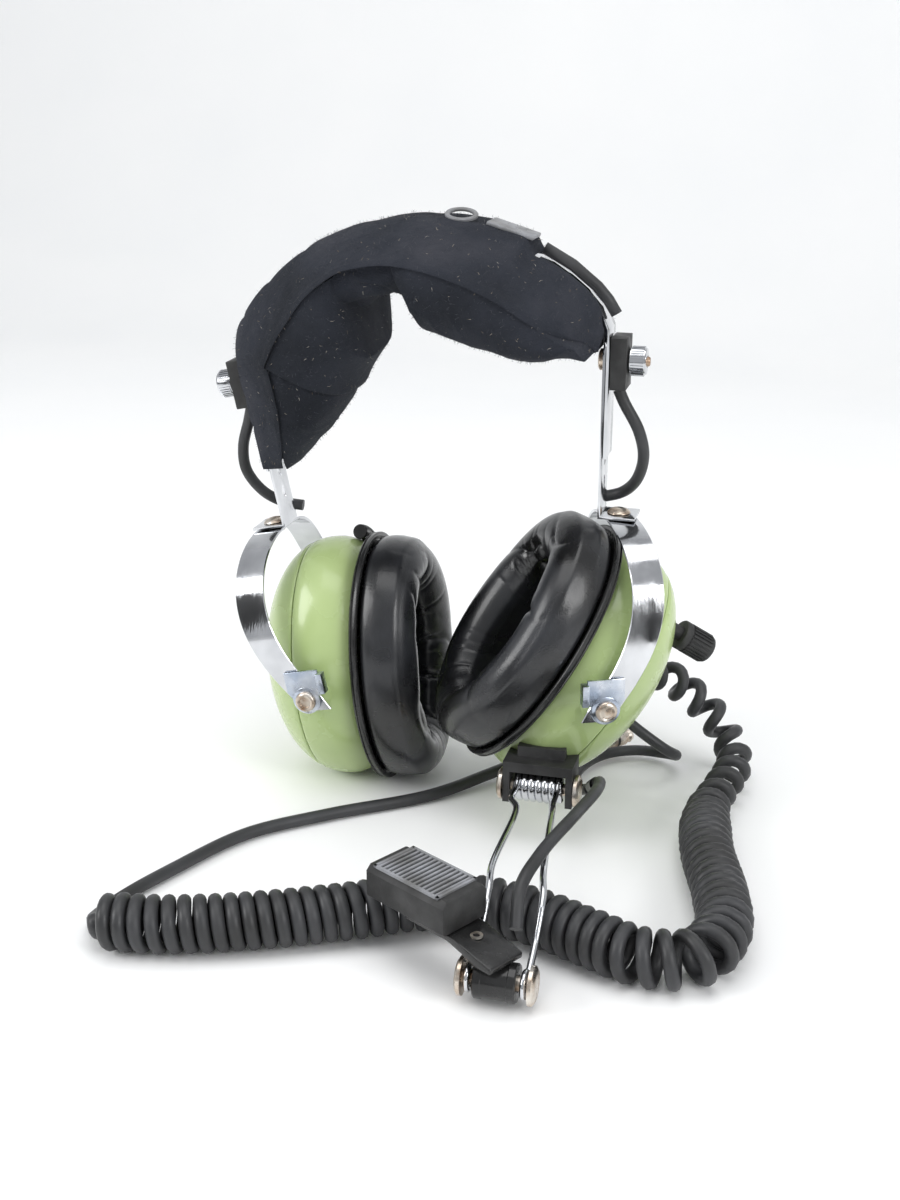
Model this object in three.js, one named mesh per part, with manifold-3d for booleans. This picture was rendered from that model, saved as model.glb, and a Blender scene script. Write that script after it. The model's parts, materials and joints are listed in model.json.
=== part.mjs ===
// Aviation headset with a sprung steel headband, oval ear cups, a wire microphone boom
// and a coiled cord that ends in a four-contact plug. Millimetres, +Z up, standing on Z = 0.
import * as THREE from "three";
import * as BufferGeometryUtils from "three/addons/utils/BufferGeometryUtils.js";
import Module from "manifold-3d";

const wasm = await Module();
wasm.setup();

// ---------------------------------------------------------------- driving dimensions
const GAP = 0.3; // air between neighbouring solids

// How the headset stands: it leans to its left, and the headband's feet are this high and wide.
const LEAN = 6;
const LEAN_CENTRE_Z = 60;
const HEADSET_X = 2;
const FOOT_HALF_WIDTH = 63;
const FOOT_HEIGHT = 113.1;
const SIDE_SLOPE = 6; // the band's straight sides open upwards by this

// Headband
const STRIP_THICK = 1;
const STRIP_WIDTH = 14;
const STRIP_LENGTH = 67; // sliding strip, from its foot up
const BAND_END = 22; // the band strip starts this far up the side
const STRAIGHT_END = 68; // and its arch starts here
const CROWN_HEIGHT = 108.8; // the arch's top above the feet
const CLAMP_HEIGHT = 58; // the clamp screw, up the side
const CLAMP_HOLE = 2.2;
const CLAMP_SHAFT = 1.8;
const FOOT_REACH = 14; // the strip's foot, turned outwards
const FOOT_AXIS_X = 7; // the swivel rivet in it

// Stirrups
const STIRRUP_THICK = 1.2;
const STIRRUP_WIDTH = 12;
const ARM_Y = 41;
const PIN_DROP = 61.5;
const PIN_X = -15; // from the swivel's axis, inwards
const PIN_SHAFT = 1.9;
const PIN_HOLE = 2.3;

// Ear cups: an oval dome seen from the side, its depth measured out from the seal plate
const CUP_HALF_Y = 37;
const CUP_HALF_Z = 50;
const CUP_DEPTH = 45;
const CUP_WAIST = 13; // depth of the fullest section
const PARTING = 24; // depth of the line between the inner and outer shells
const WALL = 0.06; // wall, as a share of the half size
const PLATE_X = -16; // seal plate, from the pin axis
const CUP_CENTRE_Z = 2; // cup centre above the pin axis
const CUP_SEGMENTS = 24;
const CUP_ANGLE = { left: -7, right: 33 }; // tilt about the pins at rest
const SWIVEL = { left: 0, right: 25 }; // turn under the feet at rest

// Microphone boom and its hinge, beneath the right cup
const HINGE = [47, -46, 24];
const HINGE_RADIUS = 6;
const MIC_PIVOT = [56, -152, 9];
const WIRE_RADIUS = 1.2;
const WIRE_HALF_SPREAD = 5.5;

// Cords
const CORD_RADIUS = 2.4;
const COIL_RADIUS = 10;
const LEAD_RADIUS = 2.2;
const PLUG_START = [27, 8, 6];
const PLUG_HEADING = 44; // degrees from +X

// ---------------------------------------------------------------- materials
const finish = (color, roughness, metalness) =>
  new THREE.MeshStandardMaterial({ color, roughness, metalness });
const chrome = finish("#c9ccd0", 0.12, 1);
const steel = finish("#a9a59c", 0.35, 1);
const green = finish("#a3ba7c", 0.28, 0);
const vinyl = finish("#1b1d22", 0.32, 0);
const blackPlastic = finish("#17181a", 0.35, 0);
const rubber = finish("#2c2e31", 0.6, 0);
const cloth = finish("#23252b", 0.95, 0);
const grey = finish("#8a8c8e", 0.5, 0);
const clear = finish("#b9c2bd", 0.2, 0);

// ---------------------------------------------------------------- helpers
const radians = THREE.MathUtils.degToRad;

function toSolid(geometry) {
  const bare = geometry.clone();
  bare.deleteAttribute("normal");
  bare.deleteAttribute("uv");
  const merged = BufferGeometryUtils.mergeVertices(bare, 1e-4);
  return new wasm.Manifold(
    new wasm.Mesh({
      numProp: 3,
      vertProperties: new Float32Array(merged.attributes.position.array),
      triVerts: new Uint32Array(merged.index.array),
    }),
  );
}

function toGeometry(solid) {
  const mesh = solid.getMesh();
  const geometry = new THREE.BufferGeometry();
  geometry.setAttribute("position", new THREE.BufferAttribute(mesh.vertProperties, 3));
  geometry.setIndex(new THREE.BufferAttribute(mesh.triVerts, 1));
  geometry.computeVertexNormals();
  return geometry;
}

const join = (...parts) => toGeometry(parts.map(toSolid).reduce((a, b) => a.add(b)));

const cut = (body, ...tools) =>
  toGeometry(tools.map(toSolid).reduce((a, b) => a.subtract(b), toSolid(body)));

function box(low, high) {
  const size = high.map((value, i) => value - low[i]);
  const centre = high.map((value, i) => (value + low[i]) / 2);
  return new THREE.BoxGeometry(...size).translate(...centre);
}

// A cylinder from `start` to `end` along one axis ("x", "y" or "z") through `centre`.
function rod(axis, radius, start, end, centre = [0, 0, 0], sides = 16) {
  const geometry = new THREE.CylinderGeometry(radius, radius, end - start, sides);
  geometry.translate(0, (start + end) / 2, 0);
  return aim(geometry, axis).translate(...centre);
}

// Turns a shape made round +Y so that its axis is `axis`.
function aim(geometry, axis) {
  if (axis === "x") geometry.rotateZ(-Math.PI / 2);
  if (axis === "z") geometry.rotateX(Math.PI / 2);
  return geometry;
}

// A turned part from [radius, height] pairs, round `axis`.
const turned = (pairs, axis, segments = 20) =>
  aim(
    new THREE.LatheGeometry(
      pairs.map(([radius, height]) => new THREE.Vector2(radius, height)),
      segments,
    ),
    axis,
  );

// A tube of `sides` sides through the given points.
function tube(points, radius, steps, sides = 8) {
  const path = new THREE.CatmullRomCurve3(
    points.map((point) => new THREE.Vector3(...point)),
    false,
    "centripetal",
  );
  const section = new THREE.Shape();
  for (let i = 0; i < sides; i += 1) {
    const turn = (i / sides) * 2 * Math.PI;
    const corner = [radius * Math.cos(turn), radius * Math.sin(turn)];
    if (i === 0) section.moveTo(...corner);
    else section.lineTo(...corner);
  }
  return new THREE.ExtrudeGeometry(section, { steps, extrudePath: path, bevelEnabled: false });
}

function mesh(name, geometry, material, parent) {
  const piece = new THREE.Mesh(geometry, material);
  piece.name = name;
  parent.add(piece);
  return piece;
}

// ---------------------------------------------------------------- groups
const model = new THREE.Group();

// The leaning headset: its own frame has the feet at +-FOOT_HALF_WIDTH, FOOT_HEIGHT.
const leaning = new THREE.Group();
leaning.position.set(HEADSET_X, 0, LEAN_CENTRE_Z);
leaning.rotation.y = radians(-LEAN);
const headset = new THREE.Group();
headset.position.z = -LEAN_CENTRE_Z;
leaning.add(headset);
model.add(leaning);

// A side's frame: origin at the foot, +X outwards, +Z up the strip.
function sideFrame(side) {
  const slope = new THREE.Group();
  slope.position.set(side * FOOT_HALF_WIDTH, 0, FOOT_HEIGHT);
  slope.rotation.y = radians(side * SIDE_SLOPE);
  const facing = new THREE.Group();
  facing.rotation.z = side < 0 ? Math.PI : 0;
  slope.add(facing);
  headset.add(slope);
  return facing;
}

// ---------------------------------------------------------------- headband
const BAND_X = STRIP_THICK + GAP; // inner face of the band strip, in the side's frame

// The band's centre line in the headset's XZ plane, from the right side's straight end to the left's.
function archCurve(offset) {
  const slope = radians(SIDE_SLOPE);
  const up = new THREE.Vector2(Math.sin(slope), Math.cos(slope));
  const out = new THREE.Vector2(Math.cos(slope), -Math.sin(slope));
  const foot = new THREE.Vector2(FOOT_HALF_WIDTH, FOOT_HEIGHT);
  const start = foot.clone().addScaledVector(up, STRAIGHT_END);
  start.addScaledVector(out, BAND_X + offset);
  const crown = new THREE.Vector2(0, FOOT_HEIGHT + CROWN_HEIGHT + offset);
  const mirror = (point) => new THREE.Vector2(-point.x, point.y);
  const rise = start.clone().addScaledVector(up, 14 + offset * 0.4);
  const flat = new THREE.Vector2(44 + offset * 0.5, crown.y);
  const path = new THREE.CurvePath();
  path.add(new THREE.CubicBezierCurve(start, rise, flat, crown));
  path.add(new THREE.CubicBezierCurve(crown, mirror(flat), mirror(rise), mirror(start)));
  return path;
}

// Points along the whole band at `offset` outside its inner face, between two shares of its length.
// Share 0 is the right foot, 1 the left foot.
function bandLine(offset, from, to, count) {
  const slope = radians(SIDE_SLOPE);
  const foot = new THREE.Vector2(
    FOOT_HALF_WIDTH + (BAND_X + offset) * Math.cos(slope),
    FOOT_HEIGHT - (BAND_X + offset) * Math.sin(slope),
  );
  const arch = archCurve(offset);
  const straight = STRAIGHT_END;
  const archLength = arch.getLength();
  const total = archLength + 2 * straight;
  const line = [];
  for (let i = 0; i <= count; i += 1) {
    const run = (from + ((to - from) * i) / count) * total;
    if (run < straight) {
      line.push(new THREE.Vector2(foot.x + run * Math.sin(slope), foot.y + run * Math.cos(slope)));
    } else if (run > total - straight) {
      const left = total - run;
      line.push(new THREE.Vector2(-foot.x - left * Math.sin(slope), foot.y + left * Math.cos(slope)));
    } else {
      line.push(arch.getPointAt((run - straight) / archLength));
    }
  }
  return line;
}

// A curved slab between two offsets of the band, `width(share)` wide across Y.
function bandSlab(inner, outer, from, to, count, width) {
  const outline = new THREE.Shape([
    ...bandLine(outer, from, to, count),
    ...bandLine(inner, from, to, count).reverse(),
  ]);
  const geometry = new THREE.ExtrudeGeometry(outline, { depth: 1, bevelEnabled: false });
  geometry.translate(0, 0, -0.5).rotateX(Math.PI / 2);
  const position = geometry.attributes.position;
  const middle = bandLine((inner + outer) / 2, from, to, 4 * count);
  for (let i = 0; i < position.count; i += 1) {
    const here = new THREE.Vector2(position.getX(i), position.getZ(i));
    const nearest = middle.reduce(
      (best, point, index) => (point.distanceTo(here) < middle[best].distanceTo(here) ? index : best),
      0,
    );
    position.setY(i, position.getY(i) * width(nearest / (4 * count)));
  }
  return geometry;
}

// Width of a pad that is `full` wide at its middle and `end` at its ends.
const tapering = (full, end) => (share) => end + (full - end) * Math.sin(Math.PI * share) ** 0.6;

function bandStrip() {
  const share = BAND_END / (archCurve(0).getLength() + 2 * STRAIGHT_END);
  const slab = bandSlab(0, STRIP_THICK, share, 1 - share, 34, () => STRIP_WIDTH);
  const holes = [-1, 1].map((side) => {
    const hole = rod("x", CLAMP_HOLE, -4, 8, [0, 0, CLAMP_HEIGHT]);
    if (side < 0) hole.rotateZ(Math.PI);
    hole.rotateY(radians(side * SIDE_SLOPE));
    return hole.translate(side * FOOT_HALF_WIDTH, 0, FOOT_HEIGHT);
  });
  return cut(slab, ...holes);
}

mesh("headband_spring", bandStrip(), chrome, headset);
const WRAP_INNER = STRIP_THICK + GAP;
const CUSHION_OUTER = -(STRIP_THICK + GAP) - GAP;
const WRAP_THICK = 3;
const padWrap = bandSlab(WRAP_INNER, WRAP_INNER + WRAP_THICK, 0.345, 0.68, 14, tapering(80, 56));
mesh("pad_wrap", padWrap, cloth, headset);
const rightCushion = bandSlab(-28, CUSHION_OUTER, 0.215, 0.5, 12, tapering(82, 44));
mesh("pad_cushion_right", rightCushion, cloth, headset);
const leftCushion = bandSlab(-30, CUSHION_OUTER - 4, 0.56, 0.88, 12, tapering(78, 44));
mesh("pad_cushion_left", leftCushion, cloth, headset);

// A group on the band's outside at a share of its length, +Z pointing away from the wearer.
function onBand(share, offset) {
  const [before, after] = bandLine(offset, share - 0.002, share + 0.002, 1);
  const seat = new THREE.Group();
  seat.position.set((before.x + after.x) / 2, 0, (before.y + after.y) / 2);
  seat.rotation.y = Math.atan2(after.y - before.y, before.x - after.x);
  headset.add(seat);
  return seat;
}

// Snap ring and tab on the wrap
const wrapTop = WRAP_INNER + WRAP_THICK + 0.5;
const snapRing = turned([[6, 0], [9, 0], [9, 1.4], [6, 1.4], [6, 0]], "z", 24).translate(0, -14, 0);
mesh("pad_snap_ring", snapRing, grey, onBand(0.48, wrapTop));
mesh("pad_tab", box([-9, -7, 0], [9, 7, 1.4]), grey, onBand(0.38, wrapTop + 0.3));

// ---------------------------------------------------------------- one side of the headband
function slideStrip() {
  const plate = new THREE.Shape();
  const half = STRIP_WIDTH / 2;
  plate.moveTo(-half, -STRIP_THICK).lineTo(half, -STRIP_THICK).lineTo(half, STRIP_LENGTH - half);
  plate.absarc(0, STRIP_LENGTH - half, half, 0, Math.PI, false);
  plate.lineTo(-half, -STRIP_THICK);
  const slot = new THREE.Path();
  slot.absarc(0, CLAMP_HEIGHT + 5, CLAMP_HOLE, 0, Math.PI, false);
  slot.absarc(0, CLAMP_HEIGHT - 16, CLAMP_HOLE, Math.PI, 2 * Math.PI, false);
  plate.holes.push(slot);
  for (const height of [12, 21]) {
    const notch = new THREE.Path();
    notch.absarc(-1, height, 2.6, -Math.PI / 2, Math.PI / 2, false);
    plate.holes.push(notch);
  }
  const upright = new THREE.ExtrudeGeometry(plate, {
    depth: STRIP_THICK,
    bevelEnabled: false,
    curveSegments: 8,
  });
  upright.rotateX(Math.PI / 2).rotateZ(Math.PI / 2);
  const foot = box([0, -half, -STRIP_THICK], [FOOT_REACH, half, 0]);
  const rivetHole = rod("z", 2.3, -3, 3, [FOOT_AXIS_X, 0, 0]);
  return cut(join(upright, foot), rivetHole);
}

const BLOCK_X = BAND_X + STRIP_THICK + GAP;
const BLOCK_DEPTH = 6;
const NUT_X = BLOCK_X + BLOCK_DEPTH + GAP;
const NUT_DEPTH = 6.5;
const NUT_RADIUS = 5.6;

function guideBlock() {
  const block = box([BLOCK_X, -6.5, CLAMP_HEIGHT - 10], [BLOCK_X + BLOCK_DEPTH, 6.5, CLAMP_HEIGHT + 9]);
  return cut(block, rod("x", CLAMP_HOLE, -2, 20, [0, 0, CLAMP_HEIGHT]));
}

function clampScrew() {
  const tip = NUT_X + NUT_DEPTH + 1;
  const profile = [[0, -2.3], [4, -2.3], [4, -GAP], [CLAMP_SHAFT, -GAP], [CLAMP_SHAFT, tip], [0, tip]];
  return turned(profile, "x", 12).translate(0, 0, CLAMP_HEIGHT);
}

// A round nut with flutes round its edge
function thumbNut() {
  const rim = new THREE.Shape();
  const flutes = 16;
  for (let i = 0; i < 2 * flutes; i += 1) {
    const turn = (i / flutes) * Math.PI;
    const radius = i % 2 ? NUT_RADIUS : NUT_RADIUS - 0.5;
    const corner = [radius * Math.cos(turn), radius * Math.sin(turn)];
    if (i === 0) rim.moveTo(...corner);
    else rim.lineTo(...corner);
  }
  const bore = new THREE.Path();
  bore.absarc(0, 0, CLAMP_HOLE, 0, 2 * Math.PI, true);
  rim.holes.push(bore);
  const nut = new THREE.ExtrudeGeometry(rim, { depth: NUT_DEPTH, bevelEnabled: false, curveSegments: 12 });
  return nut.rotateY(Math.PI / 2).translate(NUT_X, 0, CLAMP_HEIGHT);
}

// Rivet between the foot and the stirrup's crossbar
const CROSSBAR_TOP = -STRIP_THICK - GAP;
const swivelRivet = () =>
  turned(
    [
      [0, CROSSBAR_TOP - STIRRUP_THICK - GAP - 1.2],
      [3.6, CROSSBAR_TOP - STIRRUP_THICK - GAP - 1.2],
      [3.6, CROSSBAR_TOP - STIRRUP_THICK - GAP],
      [1.9, CROSSBAR_TOP - STIRRUP_THICK - GAP],
      [1.9, GAP],
      [4.4, GAP],
      [3.4, 1.7],
      [0, 2],
    ],
    "z",
    16,
  ).translate(FOOT_AXIS_X, 0, 0);

// ---------------------------------------------------------------- stirrup
// How far the arms stand out of the swivel's plane at depth `drop` below the crossbar.
function bow(drop) {
  const share = drop / PIN_DROP;
  return 4 * Math.sin(Math.PI * Math.min(1, share)) + PIN_X * share ** 2;
}

// Both arms and the crossbar: an arch in the YZ plane, wide across X, its arms bowed.
function stirrupStrip() {
  const arch = (offset) => {
    const line = [];
    const steps = 20;
    for (let i = 0; i <= steps; i += 1) {
      const turn = (i / steps) * Math.PI;
      const c = Math.cos(turn);
      const s = Math.sin(turn);
      const power = 2 / 2.7;
      const y = (ARM_Y + offset) * Math.sign(c) * Math.abs(c) ** power;
      const z = -PIN_DROP + (PIN_DROP + CROSSBAR_TOP - STIRRUP_THICK + offset) * s ** power;
      line.push(new THREE.Vector2(y, z));
    }
    return line;
  };
  const low = (y) => new THREE.Vector2(y, -PIN_DROP - 5);
  const outline = new THREE.Shape([
    low(ARM_Y + STIRRUP_THICK),
    ...arch(STIRRUP_THICK),
    low(-ARM_Y - STIRRUP_THICK),
    low(-ARM_Y),
    ...arch(0).reverse(),
    low(ARM_Y),
  ]);
  const strip = new THREE.ExtrudeGeometry(outline, { depth: STIRRUP_WIDTH, bevelEnabled: false });
  strip.rotateX(Math.PI / 2).rotateZ(Math.PI / 2).translate(-STIRRUP_WIDTH / 2, 0, 0);
  const position = strip.attributes.position;
  for (let i = 0; i < position.count; i += 1) {
    position.setX(i, position.getX(i) + bow(-position.getZ(i)));
  }
  const swivelHole = rod("z", 2.3, -8, 3);
  const pinHole = rod("y", PIN_HOLE, -50, 50, [PIN_X, 0, -PIN_DROP]);
  return cut(strip, swivelHole, pinHole);
}

// A plate over an arm's end: a collar round the screw, shoulders and one folded tab.
function pivotClip(front) {
  const plate = new THREE.Shape();
  plate.moveTo(-7, 12).lineTo(7, 12).lineTo(7, 4).lineTo(4.6, 0);
  plate.absarc(0, 0, 4.6, 0, Math.PI, true);
  plate.lineTo(-7, 4).lineTo(-7, 12);
  const bore = new THREE.Path();
  bore.absarc(0, 0, PIN_HOLE, 0, 2 * Math.PI, false);
  plate.holes.push(bore);
  const flat = new THREE.ExtrudeGeometry(plate, { depth: 1.2, bevelEnabled: false, curveSegments: 8 });
  flat.rotateX(Math.PI / 2);
  const near = ARM_Y + STIRRUP_THICK + GAP;
  flat.translate(0, front > 0 ? near + 1.2 : -near, 0);
  const fold = box([-9.4, near, 3], [-7, near + 4, 11]);
  if (front < 0) fold.translate(0, -2 * near - 4, 0);
  return join(flat, fold).translate(PIN_X, 0, -PIN_DROP);
}

function pivotScrew(front) {
  const near = ARM_Y + STIRRUP_THICK + GAP + 1.2 + GAP;
  const screw = turned(
    [
      [0, 33], [PIN_SHAFT, 33], [PIN_SHAFT, near], [4, near], [4, near + 1.6], [2.4, near + 2],
      [0, near + 1.4],
    ],
    "y",
    16,
  );
  if (front < 0) screw.rotateZ(Math.PI);
  return screw.translate(PIN_X, 0, -PIN_DROP);
}

// ---------------------------------------------------------------- ear cup
// Half size of the dome, as a share of its fullest section, at a depth out from the seal plate.
function domeShare(depth) {
  if (depth < CUP_WAIST) return 1 - 0.13 * ((CUP_WAIST - depth) / CUP_WAIST) ** 2;
  return Math.sqrt(Math.max(0, 1 - ((depth - CUP_WAIST) / (CUP_DEPTH - CUP_WAIST)) ** 2.3));
}

// An oval turned part from [share of half size, depth] pairs, placed in the cup's frame.
const oval = (pairs, segments = CUP_SEGMENTS) =>
  turned(pairs, "x", segments).scale(1, CUP_HALF_Y, CUP_HALF_Z).translate(PLATE_X, 0, CUP_CENTRE_Z);

const spaced = (from, to, count) =>
  Array.from({ length: count + 1 }, (_, i) => from + ((to - from) * i) / count);

function innerShell() {
  const outer = spaced(0, PARTING, 4).map((depth) => [domeShare(depth), depth]);
  const inner = outer.map(([share, depth]) => [share - WALL, depth]).reverse();
  const shell = oval([...outer, ...inner, outer[0]]);
  const bosses = [-1, 1].map((front) => {
    const boss = turned([[0, 34], [5.8, 34], [5.2, 39.6], [0, 39.6]], "y", 16);
    return front > 0 ? boss : boss.rotateZ(Math.PI);
  });
  return cut(join(shell, ...bosses), rod("y", PIN_HOLE, -50, 50));
}

function outerShell() {
  const start = PARTING + GAP;
  const roof = CUP_DEPTH - 2.4; // depth of its inner face at the apex
  const outer = spaced(0, 1, 6).map((t) => {
    const depth = start + (CUP_DEPTH - start) * Math.sin((t * Math.PI) / 2);
    return [domeShare(depth), depth];
  });
  outer[outer.length - 1] = [0, CUP_DEPTH];
  const inner = spaced(0, 1, 5).map((t) => {
    const depth = start + (roof - start) * Math.sin((t * Math.PI) / 2);
    return [Math.max(0, domeShare((depth * CUP_DEPTH) / roof) - WALL), depth];
  });
  inner[0][0] = domeShare(start) - WALL;
  inner[inner.length - 1] = [0, roof];
  return oval([...inner.reverse(), ...outer]);
}

const sealPlate = () =>
  oval([
    [0.62, -GAP], [0.62, -2], [0.98, -2], [0.99, -3.4],
    [1.03, -3.4], [1.03, -1.9], [1.01, -GAP], [0.62, -GAP],
  ]);

const earSeal = () =>
  oval([
    [0.5, -12], [0.51, -16.5], [0.58, -21], [0.7, -23.8], [0.82, -23.5], [0.93, -20.5],
    [0.99, -15], [1.0, -9], [0.97, -3.7 - GAP], [0.56, -3.7 - GAP], [0.5, -12],
  ]);

const speaker = () =>
  turned([[0, 24], [19, 24], [19.5, 27], [12, 31], [12, 38.4], [0, 38.4]], "x", 20).translate(
    PLATE_X,
    0,
    CUP_CENTRE_Z - 8,
  );

// Volume control in the right cup: its centre, and the shaft along the cup's depth
const KNOB_CENTRE = [PLATE_X, -3, CUP_CENTRE_Z + 30];
const volumePot = () =>
  turned([[0, 21], [6, 21], [6, 27], [3, 27], [3, 51.9], [0, 51.9]], "x", 18).translate(...KNOB_CENTRE);

const volumeKnob = () =>
  turned(
    [[3.3, 43.4], [5.9, 43.4], [5.6, 57.2], [5, 57.8], [0, 57.8], [0, 52.2], [3.3, 52.2], [3.3, 43.4]],
    "x",
    24,
  ).translate(...KNOB_CENTRE);

// Rubber sleeve that lies in the groove behind the plate where the crossover lead goes in
function leadGrommet(rear) {
  const depth = 5.2;
  const share = domeShare(depth);
  const surface = (y) => CUP_CENTRE_Z + CUP_HALF_Z * Math.sqrt(share ** 2 - (y / CUP_HALF_Y) ** 2);
  const points = [7, 13, 19].map((y) => [PLATE_X + depth, rear * y, surface(y) + 4]);
  return tube(points, 2.9, 4, 10);
}

function addCup(name, frame, rear) {
  const cup = new THREE.Group();
  cup.position.set(PIN_X, 0, -PIN_DROP);
  cup.rotation.y = radians(CUP_ANGLE[name]);
  frame.add(cup);
  mesh(`${name}_inner_shell`, innerShell(), green, cup);
  const cap = outerShell();
  const potHole = rod("x", 3.4, 20, 60, KNOB_CENTRE);
  mesh(`${name}_outer_shell`, name === "right" ? cut(cap, potHole) : cap, green, cup);
  mesh(`${name}_seal_plate`, sealPlate(), blackPlastic, cup);
  mesh(`${name}_ear_seal`, earSeal(), vinyl, cup);
  mesh(`${name}_speaker`, speaker(), blackPlastic, cup);
  mesh(`${name}_lead_grommet`, leadGrommet(rear), rubber, cup);
  return cup;
}

// ---------------------------------------------------------------- the two sides
let rightCup;
for (const [name, side] of [["left", -1], ["right", 1]]) {
  const frame = sideFrame(side);
  mesh(`${name}_slide_strip`, slideStrip(), chrome, frame);
  mesh(`${name}_guide_block`, guideBlock(), blackPlastic, frame);
  mesh(`${name}_clamp_screw`, clampScrew(), steel, frame);
  mesh(`${name}_thumb_nut`, thumbNut(), chrome, frame);
  mesh(`${name}_swivel_rivet`, swivelRivet(), steel, frame);
  mesh(`${name}_crossover_loop`, crossoverLoop(side), rubber, frame);

  const stirrup = new THREE.Group();
  stirrup.position.set(FOOT_AXIS_X, 0, 0);
  stirrup.rotation.z = radians(SWIVEL[name]);
  frame.add(stirrup);
  mesh(`${name}_stirrup`, stirrupStrip(), chrome, stirrup);
  for (const [end, front] of [["front", -side], ["rear", side]]) {
    mesh(`${name}_${end}_pivot_clip`, pivotClip(front), chrome, stirrup);
    mesh(`${name}_${end}_pivot_screw`, pivotScrew(front), steel, stirrup);
  }
  const cup = addCup(name, stirrup, side);
  if (name === "right") {
    rightCup = cup;
    mesh("volume_pot", volumePot(), blackPlastic, cup);
    mesh("volume_knob", volumeKnob(), blackPlastic, cup);
  }
}

// ---------------------------------------------------------------- crossover lead
// Loop from the guide block down and round the strip's rear edge, in the side's frame.
function crossoverLoop(side) {
  const rear = side;
  return tube(
    [
      [5.2, 0, CLAMP_HEIGHT - 10.9],
      [7.6, 0, CLAMP_HEIGHT - 16],
      [13, 1 * rear, 32],
      [15, 3 * rear, 22],
      [12, 8 * rear, 11],
      [6, 12.5 * rear, 4.5],
      [-1, 13.5 * rear, 2],
    ],
    LEAD_RADIUS,
    16,
  );
}

// ---------------------------------------------------------------- pieces fixed to the right dome
// The right dome, a little oversize, which trims what is screwed to its outside.
function rightDome() {
  const outer = spaced(0, 1, 14).map((t) => {
    const depth = CUP_DEPTH * Math.sin((t * Math.PI) / 2);
    return [domeShare(depth) + 0.012, depth * 1.012];
  });
  const dome = oval([[0, -1], [outer[0][0], -1], ...outer, [0, outer[14][1]]], 48);
  model.updateMatrixWorld(true);
  return dome.applyMatrix4(rightCup.matrixWorld);
}

// ---------------------------------------------------------------- microphone boom
function hingeBracket() {
  const block = join(
    box([-9, 2, HINGE_RADIUS + 1], [9, 24, 15]),
    box([-13.2, -4.5, -5.5], [-10.6, 9, 11]),
    box([10.6, -4.5, -5.5], [13.2, 9, 11]),
    box([-13.2, -4.5, HINGE_RADIUS + 1], [13.2, 9, 11]),
  );
  return cut(cut(block, rod("x", 2.6, -20, 20)).translate(...HINGE), rightDome());
}

// The wire's coil round the hinge pin: turns side by side
function hingeCoil() {
  const turns = 6;
  const length = 19.4;
  const pitch = length / turns;
  const outer = [];
  for (let i = 0; i < turns; i += 1) {
    const start = -length / 2 + i * pitch;
    outer.push([5, start], [HINGE_RADIUS, start + pitch * 0.35], [HINGE_RADIUS, start + pitch * 0.65]);
  }
  outer.push([5, length / 2]);
  const profile = [[2.9, -length / 2], ...outer, [2.9, length / 2], [2.9, -length / 2]];
  return turned(profile, "x", 12).translate(...HINGE);
}

const pinWithHeads = (half, shaft, head, centre) =>
  turned(
    [
      [0, -half - 2], [head - 0.8, -half - 2], [head, -half - 1.2], [head, -half], [shaft, -half],
      [shaft, half], [head, half], [head, half + 1.2], [head - 0.8, half + 2], [0, half + 2],
    ],
    "x",
    18,
  ).translate(...centre);

// One leg of the boom: leaves the coil, passes over the coiled cord, comes down to the mic pivot
function boomLeg(side) {
  const x = HINGE[0] + side * (WIRE_HALF_SPREAD + 2.2);
  const end = MIC_PIVOT[0] + side * (WIRE_HALF_SPREAD + 3.6);
  const leg = tube(
    [
      [x, HINGE[1] - HINGE_RADIUS - WIRE_RADIUS - GAP, HINGE[2] + 1.5],
      [x + 0.6, HINGE[1] - 16, HINGE[2] + 2],
      [x + (end - x) * 0.35 - side * 1.6, HINGE[1] - 24, HINGE[2] + 3],
      [x + (end - x) * 0.8, MIC_PIVOT[1] + 36, HINGE[2] + 4],
      [end, MIC_PIVOT[1] + 26, HINGE[2] + 1.5],
      [end, MIC_PIVOT[1] + 14, MIC_PIVOT[2] + 5.5],
      [end, MIC_PIVOT[1] + 3.9, MIC_PIVOT[2]],
    ],
    WIRE_RADIUS,
    14,
  );
  const eye = turned([[2.9, -1.2], [5, -1.2], [5, 1.2], [2.9, 1.2], [2.9, -1.2]], "x", 14);
  return join(leg, eye.translate(end, MIC_PIVOT[1], MIC_PIVOT[2]));
}

// ---------------------------------------------------------------- microphone
// Frame: origin on the pivot, +X along the pivot; the mic reaches up and to the left.
const MIC_TURN = 60;
const micFrame = new THREE.Group();
micFrame.position.set(...MIC_PIVOT);

function micBarrel() {
  return turned([[2.9, -7], [6.4, -7], [6.4, 7], [2.9, 7], [2.9, -7]], "x", 20);
}

// Clip from the barrel up over the coiled cord to the capsule
function micClip() {
  const outline = new THREE.Shape();
  outline.moveTo(-4, 6.9).lineTo(4, 6.9).lineTo(8, 9).lineTo(15, 11);
  outline.lineTo(34, 11).lineTo(34, 13).lineTo(12, 13).lineTo(-4, 9);
  outline.lineTo(-4, 6.9);
  const clip = new THREE.ExtrudeGeometry(outline, { depth: 15, bevelEnabled: false });
  clip.translate(0, 0, -7.5).rotateX(Math.PI / 2).rotateZ(Math.PI / 2);
  return clip;
}

const micCapsule = () =>
  new THREE.ExtrudeGeometry(
    new THREE.Shape([
      new THREE.Vector2(-10, 0), new THREE.Vector2(-9, -1),
      new THREE.Vector2(9, -1), new THREE.Vector2(10, 0),
      new THREE.Vector2(10, 9), new THREE.Vector2(8, 11),
      new THREE.Vector2(-8, 11), new THREE.Vector2(-10, 9),
    ]),
    { depth: 36, bevelEnabled: false },
  )
    .rotateX(Math.PI / 2)
    .translate(0, 50, 14.4);

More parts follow.
